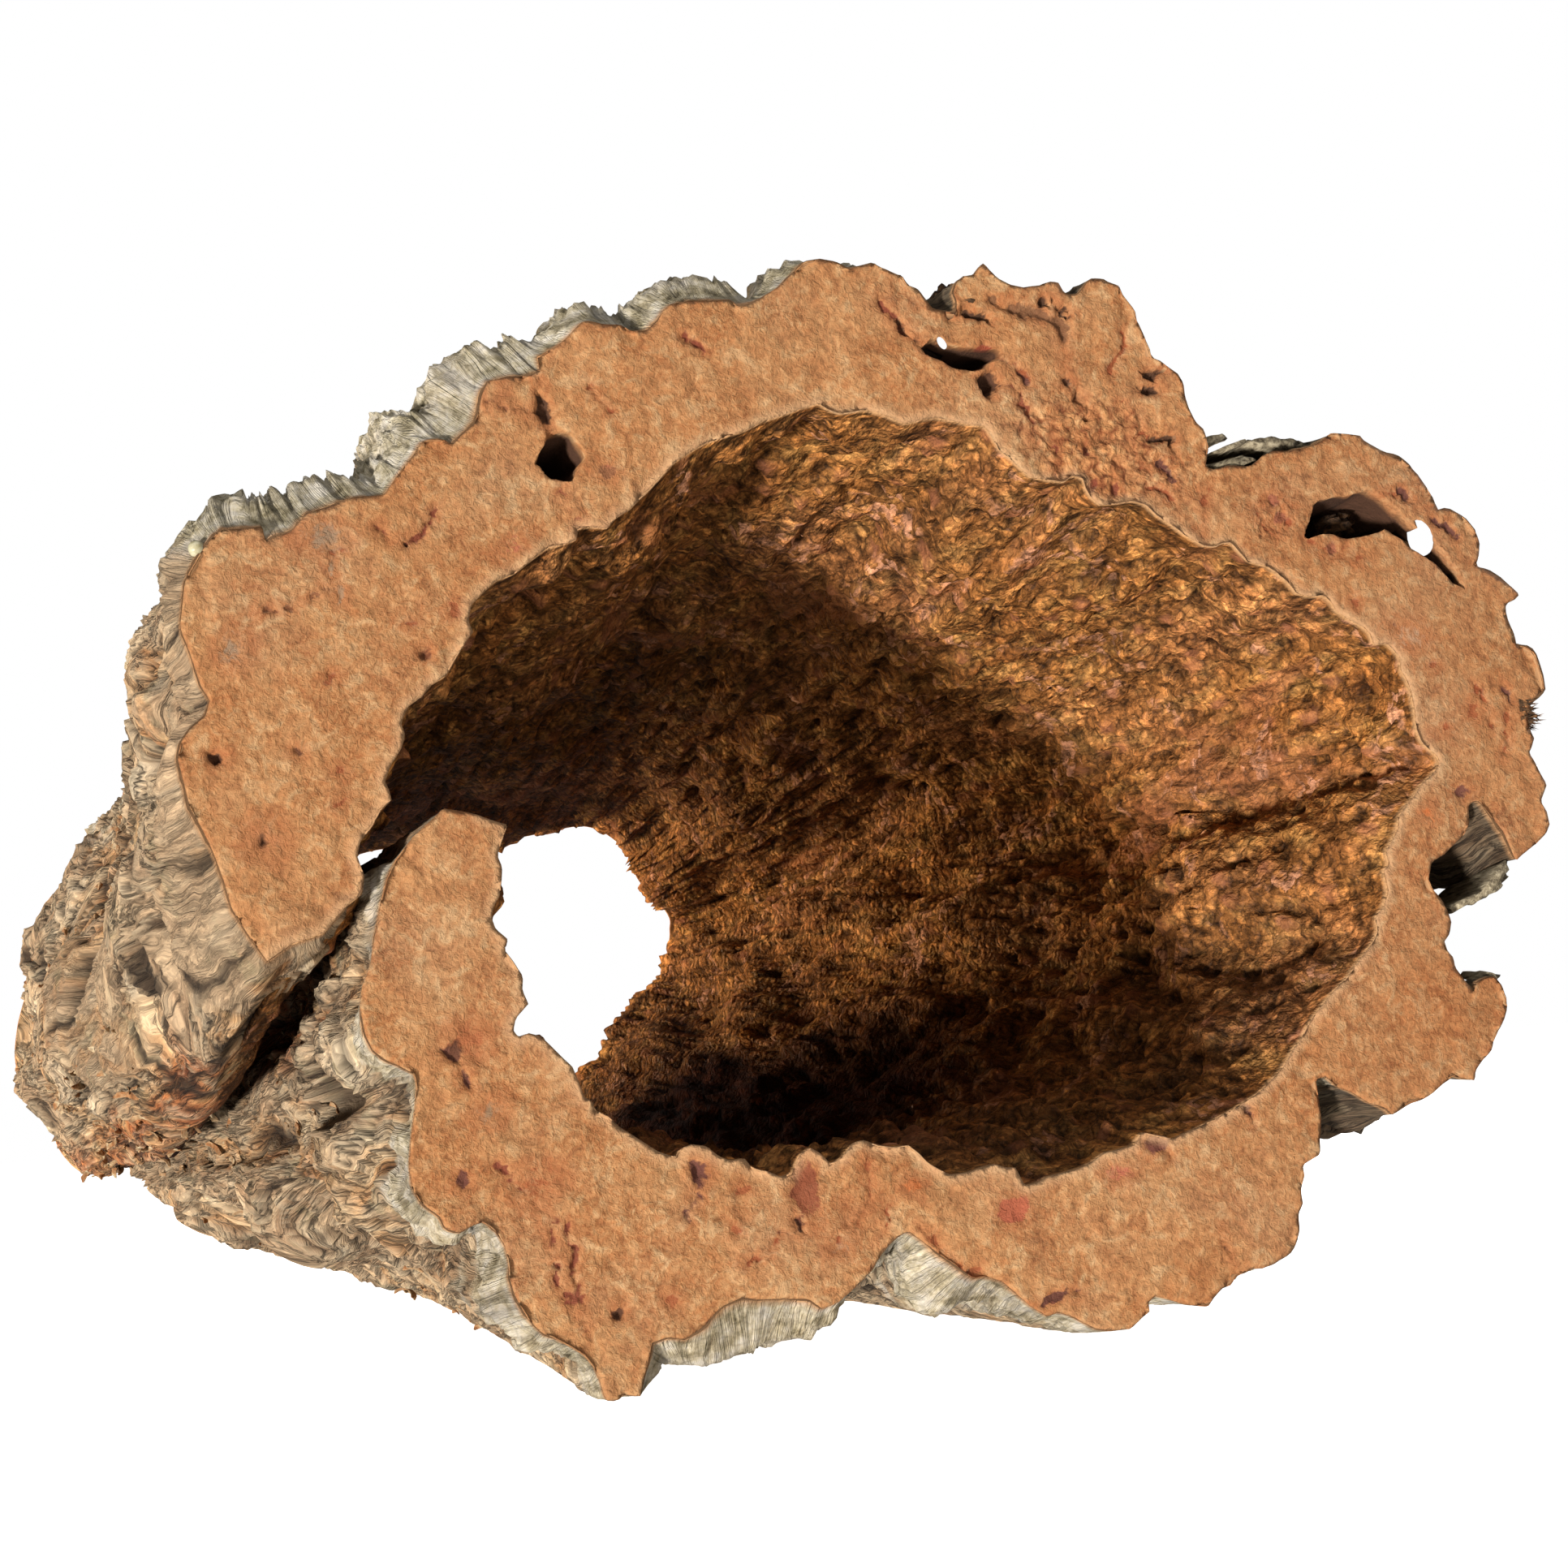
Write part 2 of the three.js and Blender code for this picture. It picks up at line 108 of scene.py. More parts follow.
# %% [markdown]
# The light on the photographed branch comes from the left, from the front and from below, because it
# brightens the ceiling on the right of the hollow and leaves the floor dark. A sun with a soft edge
# gives that curved shadow line. The floor would stand in its way, so the floor casts no shadow. Wide
# soft lamps add what a bright room gives: one from low in front, one from above on the crown, one from
# the right on the side that the sun never reaches, and one from behind through the far opening. A pale
# world fills the rest in.

# %% The floor
bpy.context.scene.view_settings.view_transform = "Standard"

FLOOR_HALF = 12.0
floor_mesh = bpy.data.meshes.new("floor")
corners = [(x * FLOOR_HALF, y * FLOOR_HALF, 0) for x, y in ((-1, -1), (1, -1), (1, 1), (-1, 1))]
floor_mesh.from_pydata(corners, [], [(0, 1, 2, 3)])
floor = bpy.data.objects.new("floor", floor_mesh)
bpy.context.scene.collection.objects.link(floor)
floor.visible_shadow = False
floor.visible_diffuse = False
floor.visible_glossy = False
floor_paint = bpy.data.materials.new("pale floor")
floor_paint.use_nodes = True
floor_shader = floor_paint.node_tree.nodes["Principled BSDF"]
floor_looks = {
    "Base Color": (0.8, 0.8, 0.8, 1), "Emission Color": (1, 1, 1, 1), "Emission Strength": 1.1,
    "Roughness": 0.9, "Specular IOR Level": 0.1,
}
for key, value in floor_looks.items():
    floor_shader.inputs[key].default_value = value
floor_mesh.materials.append(floor_paint)
print("floor:", 2 * FLOOR_HALF, "m wide, staged")

# %% The lamps
def lamp(name, kind, energy, towards, place=(0, 0, 0), **settings):
    """A lamp that shines from place in the direction towards."""
    data = bpy.data.lights.new(name, kind)
    data.energy = energy
    for key, value in settings.items():
        setattr(data, key, value)
    made = bpy.data.objects.new(name, data)
    aim = Vector(towards).to_track_quat("-Z", "Y").to_matrix().to_4x4()
    made.matrix_world = Matrix.Translation(place) @ aim
    bpy.context.scene.collection.objects.link(made)
    return made


lamp("low key", "SUN", 6.7, (1.3, 1.0, 0.68), angle=math.radians(7), color=(1.0, 0.97, 0.93))
lamp("soft low", "AREA", 3.2, (0, 0.78, 0.42), place=(0.02, -0.72, -0.33), shape="DISK", size=0.7,
     color=(1.0, 0.93, 0.84))
lamp("soft top", "AREA", 6.0, (0.5, 0.4, -1.1), place=(-0.5, -0.45, 1.15), shape="DISK", size=1.2)
lamp("soft right", "AREA", 8.0, (-1.1, 0, -0.5), place=(1.15, 0, 0.55), shape="DISK", size=0.5)
rear = lamp("soft rear", "AREA", 13.0, (0.325, -0.65, -0.015), place=(-0.28, 0.68, 0.07), shape="DISK",
            size=0.3, color=(1.0, 0.84, 0.64))
rear.visible_glossy = False

# %% The world
world = bpy.data.worlds.new("pale world")
world.use_nodes = True
sky, link = world.node_tree.nodes, world.node_tree.links.new
fill = sky["Background"]
fill.inputs["Color"].default_value = (1, 0.97, 0.92, 1)
fill.inputs["Strength"].default_value = 0.2
backdrop = sky.new("ShaderNodeBackground")
backdrop.inputs["Color"].default_value = (1, 1, 1, 1)
seen = sky.new("ShaderNodeLightPath")
choice = sky.new("ShaderNodeMixShader")
link(seen.outputs["Is Camera Ray"], choice.inputs[0])
link(fill.outputs[0], choice.inputs[1])
link(backdrop.outputs[0], choice.inputs[2])
link(choice.outputs[0], sky["World Output"].inputs["Surface"])
bpy.context.scene.world = world
print("world:", world.name)

# %% [markdown]
# ## The section rule
# Nothing on a cork branch is straight, so the relief comes from noises. They are repeatable: a whole
# number pair always gives the same random value. `noise` is smooth, and `cells` gives the cracked
# cell pattern of dry bark: the distances to the nearest two of many scattered points.

# %% Repeatable noises
def speckle(i, j, seed):
    """A repeatable random value from -1 to 1 for a pair of whole numbers."""
    s = np.sin(i * 127.1 + j * 311.7 + seed * 74.7) * 43758.5453
    return 2 * (s - np.floor(s)) - 1


def smoothstep(value, low, high):
    """0 up to low, 1 from high on, and a smooth rise between them."""
    t = np.clip((value - low) / (high - low), 0, 1)
    return t * t * (3 - 2 * t)


def noise(u, v, seed):
    """Smooth noise on a plane, from -1 to 1."""
    i, j = np.floor(u), np.floor(v)
    a, b = smoothstep(u - i, 0, 1), smoothstep(v - j, 0, 1)
    low = speckle(i, j, seed) * (1 - a) + speckle(i + 1, j, seed) * a
    high = speckle(i, j + 1, seed) * (1 - a) + speckle(i + 1, j + 1, seed) * a
    return low * (1 - b) + high * b


def cells(u, v, seed):
    """For each place: the distance to the nearest scattered point, how much farther the second
    nearest is, a random value of the nearest one's own, and how far right of it the place lies."""
    i, j = np.floor(u), np.floor(v)
    nearest = np.full(np.shape(u), 9.0)
    second = nearest.copy()
    own, side = np.zeros(np.shape(u)), np.zeros(np.shape(u))
    for di in (-1, 0, 1):
        for dj in (-1, 0, 1):
            place_u = i + di + 0.5 + 0.42 * speckle(i + di, j + dj, seed)
            place_v = j + dj + 0.5 + 0.42 * speckle(i + di, j + dj, seed + 11)
            away = np.hypot(place_u - u, place_v - v)
            is_nearer = away < nearest
            second = np.where(is_nearer, nearest, np.minimum(second, away))
            own = np.where(is_nearer, speckle(i + di, j + dj, seed + 23), own)
            side = np.where(is_nearer, u - place_u, side)
            nearest = np.minimum(nearest, away)
    return nearest, second - nearest, own, side

# %% [markdown]
# The sheet's section is a ring of stretches: clockwise over the outside from the tip of the outer lip
# to the tip of the inner lip, then back along the inside. Each stretch has its near shape and its far
# shape. The pace says how early the near shape gives way to the far one, and the relief says how
# deeply that stretch is ridged. These are the same points and the same rule as the solid's, so that
# everything built on them lies on the solid. All long outlines are rows of x, z, x, z in millimetres.

# %% The drawn section, outside
OUTSIDE = [
    # The outer lip and the left side.
    ((3.2, 1.1), 0.8, [
        -82.6, 52.3, -86.1, 58.3, -87.4, 63.5, -90, 69.8, -91, 75.2, -89.5, 78.5, -87.2, 81.7, -89.2, 87.6,
        -90, 90.5, -89.2, 95.1, -87, 99, -84.7, 101.2,
    ], [
        -86, 30, -91.5, 38, -94, 48, -94.5, 58, -93.6, 67, -90.5, 77, -86, 85, -80, 93,
    ]),
    # The left shoulder.
    ((1.1, 1), 1, [
        -80.2, 101.3, -77, 101.2, -73, 103.8, -66, 105.4, -61.3, 111.7, -57.6, 111.6, -54.1, 115.7,
        -52.7, 119.2, -46.2, 120.7,
    ], [
        -75, 101, -69.5, 108, -60, 113, -49, 116.5,
    ]),
    # The crown.
    ((1, 1), 1, [
        -43.3, 124.4, -39.7, 127.3, -34.4, 126.2, -30.1, 128.9, -26.6, 130.3, -21.2, 130.6, -16.1, 131.6,
        -10.7, 136, -6.3, 136.2, -1.3, 136, 3.2, 133.6, 6.5, 130.4, 9.9, 130.8, 10.6, 134.2, 14.4, 136.8,
        17.9, 134.2, 23.8, 134.9, 26.3, 133.1, 29.7, 135.4, 34, 134.7, 36.2, 130,
    ], [
        -36, 119.5, -22, 121, -8, 121, 5, 119.5, 17, 118, 27, 115,
    ]),
    # The right shoulder.
    ((1, 1), 1, [
        37.8, 125, 42.2, 121.5, 43.4, 116.2, 45, 113, 44.3, 110.2, 51.3, 110.3, 57.2, 112.4, 64.5, 115.1,
        69.1, 114.8, 75, 111.8, 78.9, 107.6, 80.2, 104.4, 84.9, 103.1, 86.6, 99.7, 85.5, 96.5,
    ], [
        35, 111, 43, 106, 51, 100, 58, 92.5, 63, 85,
    ]),
    # The right side.
    ((1, 1.2), 1, [
        89, 94.8, 92.2, 92.3, 89.4, 89.4, 90.4, 85.1, 93.7, 83.6, 94.4, 78.9, 91, 75.9, 91.4, 71.9, 90.3, 70,
        92.6, 65.5, 91.2, 63.2, 92.2, 60, 88.2, 56.7, 85.8, 55.2,
    ], [
        67, 77, 70, 68, 71, 59, 69.5, 50,
    ]),
    # The split right flank.
    ((1.6, 2), 0.9, [
        84.4, 59.2, 80.8, 63.8, 79.1, 62.4, 78, 59.2, 72.1, 55.8, 71.9, 52, 74.1, 47.6, 72.9, 43.7,
        76.4, 38.6, 78.2, 39.7, 80.9, 38.6, 81.3, 35.4, 77.9, 30, 74.7, 26.3, 71.4, 27.2, 66, 24.5,
        61.2, 22.9, 57.7, 24.8, 53.3, 27.2, 50.2, 28.3,
    ], [
        66.5, 42, 61, 34.5, 55, 27.5, 48, 21,
    ]),
    # The right foot.
    ((2, 1.2), 0.8, [
        50.1, 23.6, 49.3, 18.9, 46.9, 16.5, 46.1, 13, 45.2, 9.8, 43.2, 6.9, 39, 5.5, 34.4, 4, 29.6, 1.9,
        24.9, 3.4, 22.5, 2.1, 19.5, 0, 14.8, 0,
    ], [
        42, 14, 35, 8, 28, 3.5, 22, 0, 17, 0,
    ]),
    # The notch between the feet.
    ((1.6, 1.3), 0.7, [
        12, 2.6, 8.4, 3.1, 2.8, 7.9, -1, 8.7, -5.1, 12, -8.9, 15.2, -12.5, 13.2, -16.6, 9.2, -20.8, 7.4,
        -25.7, 9.1, -30.6, 9.8, -35.3, 7.2, -39.9, 6.2, -42.2, 4, -43.8, 0, -47.9, 0,
    ], [
        12, 2, 6, 5, -1, 7, -8, 6, -14, 2.5, -18, 0, -24, 0,
    ]),
    # The left foot.
    ((1.3, 2.4), 0.8, [
        -49, 4.2, -53.5, 8, -56.9, 11.9, -57.9, 16.9, -60.5, 21.5, -63.3, 20.6, -64.8, 21.2, -68.2, 26,
    ], [
        -33, 4, -43, 9, -53, 13, -62, 17.5, -69, 23.5,
    ]),
    # The outside of the inner lip.
    ((2.4, 1.4), 0.35, [
        -68.4, 28.4, -67.2, 35, -67.1, 38.6, -71.6, 41.6, -72.7, 46.4, -71.1, 51.5, -70.2, 55.7, -68.7, 60.8,
        -66.6, 64, -61.8, 68.5,
    ], [
        -72, 28, -71, 35, -69, 43, -66, 51, -60, 57,
    ]),
]
print(len(OUTSIDE), "stretches outside")

# %% The drawn section, inside
INSIDE = [
    # The inside of the inner lip.
    ((1.4, 1), 0.6, [
        -57.8, 67.6, -54.3, 66.3, -55.8, 62.8, -55.5, 59.6, -57, 55.7, -55.3, 53.1, -53.8, 48.7, -53.4, 45.5,
        -55.4, 42.6, -52.2, 41.7, -48.2, 36.3, -44.8, 31.9, -40.8, 28.5, -37.2, 26.6,
    ], [
        -54, 55, -52, 47, -49, 38, -43, 29, -35, 23,
    ]),
    # The floor of the hollow.
    ((1, 1), 1, [
        -33.4, 27.5, -28.9, 25.7, -24.5, 23.1, -20.5, 26.2, -18.1, 24, -13.8, 26.5, -7.8, 25.3, -2.9, 21.3,
        3.4, 22, 7.1, 19, 12.9, 20.1, 20.1, 22.1, 24.1, 24, 28.2, 22.7, 34.6, 24.7,
    ], [
        -26, 20.5, -16, 20, -6, 22, 4, 25.5, 13, 30.5, 22, 37,
    ]),
    # The right wall of the hollow.
    ((1, 1), 1, [
        41.6, 27.5, 46.3, 31.3, 52, 37.5, 56.7, 41.2, 62.4, 47.1, 64.4, 55.1, 67.8, 62, 73.6, 67.3, 75, 70.3,
    ], [
        30, 42, 36.5, 48, 41.5, 54, 46, 60, 50, 66, 52.5, 71,
    ]),
    # The right shoulder of the hollow.
    ((1, 1), 1, [
        72.4, 73.7, 72.3, 78.7, 70.5, 84.6, 66.9, 87, 61.9, 90.3, 56, 92.8, 51.8, 96.5, 46.8, 99.7,
        41.8, 99.7, 36, 103.3, 32.6, 105.3, 26.5, 105.8,
    ], [
        53.5, 76, 51, 81, 47, 85.5, 44.5, 90, 39, 94,
    ]),
    # The crown of the hollow.
    ((1, 1), 1, [
        25.6, 108.3, 20.5, 108, 15.3, 110.9, 12.2, 115.1, 5.5, 116.1, 1, 115.2, -4.3, 116.9, -10.5, 117.6,
        -18.1, 115.2, -25.9, 112.3, -31.7, 108.2, -36.2, 104,
    ], [
        33.5, 97.5, 26, 98.7, 18, 98, 8, 97.5, -4, 96, -16, 94, -27, 91.5,
    ]),
    # The left wall of the hollow.
    ((1, 1.8), 0.7, [
        -41.8, 101.7, -44.7, 99.6, -51.2, 96, -56.7, 92.3, -57.6, 88, -60.2, 84, -64.9, 80.5, -66.1, 75.5,
        -68.2, 71.9, -67.6, 69.6, -71.5, 65, -71.2, 61.2,
    ], [
        -38, 89, -49, 85, -58, 79.5, -65, 72, -70.5, 63.5, -74, 54,
    ]),
    # The inside of the outer lip.
    ((1.8, 3.2), 0.35, [
        -71.8, 59, -73.3, 57.5, -76.2, 55, -79.8, 53.6,
    ], [
        -76, 45, -77, 37, -79.5, 31, -82.5, 28.5,
    ]),
]
print(len(INSIDE), "stretches inside")

# %% [markdown]
# The outside has knots and hollows of its own, and the relief has its own size and pace. The relief
# starts from nothing at the near saw cut, because the drawn outline is the real one there.

# %% The knots, the hollows and the size of the relief
# Each swell: x, z, along, reach around, reach along, height.
SWELLS = [
    (-76, 103, 9, 11, 15, 5), (-62, 111, 9, 11, 15, 3.8), (-49, 121, 9, 11, 16, 3.4),
    (-35, 127, 9, 12, 16, 3.8), (-23, 131, 9, 9, 15, 2.4), (-88, 90, 135, 13, 50, -4),
    (-91, 73, 150, 12, 60, 4.5), (-86, 58, 140, 7, 15, -7), (-87, 62, 27, 5, 7, -5),
    (-57, 11, 12, 9, 18, 2), (-66, 24, 80, 10, 40, 2), (-69, 60, 16, 7, 14, 2), (-67, 33, 46, 10, 26, 2.5),
    (-30, 9, 9, 12, 18, 6), (-2, 9, 9, 9, 16, 4), (92, 80, 70, 16, 34, 4), (60, 113, 110, 18, 26, 6),
    (80, 36, 120, 16, 40, 5), (-10, 134, 175, 20, 22, 6),
]
RIDGE_DEPTH, RIDGE_WIDTH, RIDGE_RUN, RIDGE_CREST, RIDGE_FURROW = 5.4, 13, 74, 0.55, 1.6
BLOCK_HEIGHT, BLOCK_WIDTH, BLOCK_RUN = 0.45, 22, 24
LUMP_DEPTH, LUMP_WIDTH, LUMP_RUN = 3.2, 20, 38
WANDER_REACH, WANDER_WIDTH, WANDER_RUN = 5, 40, 60
SAWN_EDGE_RUN = 26
KNOT_EDGE_RUN = 5
WORN_HEIGHT = 16
print(len(SWELLS), "knots and hollows")

# %% The columns of the ring
def pairs(numbers):
    """A row of numbers as points with an x and a z."""
    return np.array(numbers, float).reshape(-1, 2)


def curve_at(points, where):
    """Points of a centripetal Catmull-Rom curve, at places counted in its own points."""
    padded = np.vstack([2 * points[0] - points[1], points, 2 * points[-1] - points[-2]])
    i = np.minimum(np.floor(where).astype(int), len(points) - 2)
    t = (where - i)[:, None]
    p0, p1, p2, p3 = padded[i], padded[i + 1], padded[i + 2], padded[i + 3]
    gap = [np.sqrt(np.linalg.norm(b - a, axis=1))[:, None] for a, b in ((p0, p1), (p1, p2), (p2, p3))]
    leave = ((p1 - p0) / gap[0] - (p2 - p0) / (gap[0] + gap[1]) + (p2 - p1) / gap[1]) * gap[1]
    arrive = ((p2 - p1) / gap[1] - (p3 - p1) / (gap[1] + gap[2]) + (p3 - p2) / gap[2]) * gap[1]
    return (
        p1 + leave * t
        + (3 * (p2 - p1) - 2 * leave - arrive) * t**2
        + (2 * (p1 - p2) + leave + arrive) * t**3
    )


def make_columns(stretches):
    """Near point, far point, pace and relief of every column of some stretches."""
    far_points = np.concatenate([pairs(own_far) for *_, own_far in stretches])
    near, far, pace, relief = [], [], [], []
    first = 0
    for (pace_from, pace_to), depth, own_near, own_far in stretches:
        own_near = pairs(own_near)
        count = len(own_near)
        last = first + len(pairs(own_far)) - (1 if first == 0 else 0)
        share = np.arange(count) / (count - 1) if first == 0 else np.arange(1, count + 1) / count
        near.append(own_near)
        far.append(curve_at(far_points, first + (last - first) * share))
        pace.append(pace_from + (pace_to - pace_from) * share)
        relief.append(np.full(count, depth))
        first = last
    return [np.concatenate(parts) for parts in (near, far, pace, relief)]


outside_columns, inside_columns = make_columns(OUTSIDE), make_columns(INSIDE)
near, far, pace, relief = [np.concatenate(pair) for pair in zip(outside_columns, inside_columns)]
COLUMNS = len(near)
OUTSIDE_COLUMNS = len(outside_columns[0])
is_outside = np.arange(COLUMNS) < OUTSIDE_COLUMNS
steps = np.linalg.norm(np.diff(near, axis=0), axis=1)
around = np.concatenate([[0], np.cumsum(steps)])
print(COLUMNS, "columns,", OUTSIDE_COLUMNS, "of them outside;", round(around[-1]), "mm around")

# %% The solid's section at any distance
def solid_sections(alongs):
    """The solid's section at each distance, and its outward directions: two (rows, columns, 2)."""
    along = np.asarray(alongs, float)[:, None]
    share = 1 - (1 - along / LENGTH) ** pace
    smooth = near + (far - near) * share[:, :, None]
    tangent = np.roll(smooth, -1, axis=1) - np.roll(smooth, 1, axis=1)
    tangent /= np.linalg.norm(tangent, axis=2, keepdims=True)
    outward = np.stack([-tangent[:, :, 1], tangent[:, :, 0]], axis=2)
    place = around + WANDER_REACH * noise(around / WANDER_WIDTH, along / WANDER_RUN, 5)
    furrow = np.abs(noise(place / RIDGE_WIDTH, along / RIDGE_RUN, 1))
    block = noise(around / BLOCK_WIDTH + 0 * along, along / BLOCK_RUN, 2)
    ridges = RIDGE_DEPTH * relief * (RIDGE_CREST - RIDGE_FURROW * furrow + BLOCK_HEIGHT * block)
    lumps = LUMP_DEPTH * relief * noise(place / LUMP_WIDTH, along / LUMP_RUN, 3)
    worn = np.where(is_outside, np.clip(smooth[:, :, 1] / WORN_HEIGHT, 0, 1), 1)
    height = smoothstep(along, 0, SAWN_EDGE_RUN) * worn * np.where(is_outside, ridges, lumps)
    knots = np.zeros(height.shape)
    for x, z, at, reach, run, rise in SWELLS:
        away = np.hypot(near[:, 0] - x, near[:, 1] - z) / reach
        knots += rise * np.exp(-(away**2) - ((along - at) / run) ** 2)
    height += np.where(is_outside, smoothstep(along, 0, KNOT_EDGE_RUN) * knots, 0)
    points = smooth + outward * height[:, :, None]
    points[:, is_outside, 1] = np.maximum(points[:, is_outside, 1], 0)
    return points, outward

# %% [markdown]
# The solid's ring has 216 columns, but the saw cut's edge is crumbled far more finely. So the edge is
# drawn a second time with all its small bites. Every place on the fine edge is matched to a place on
# the coarse ring, in order, and the difference between the two fades out behind the saw cut.

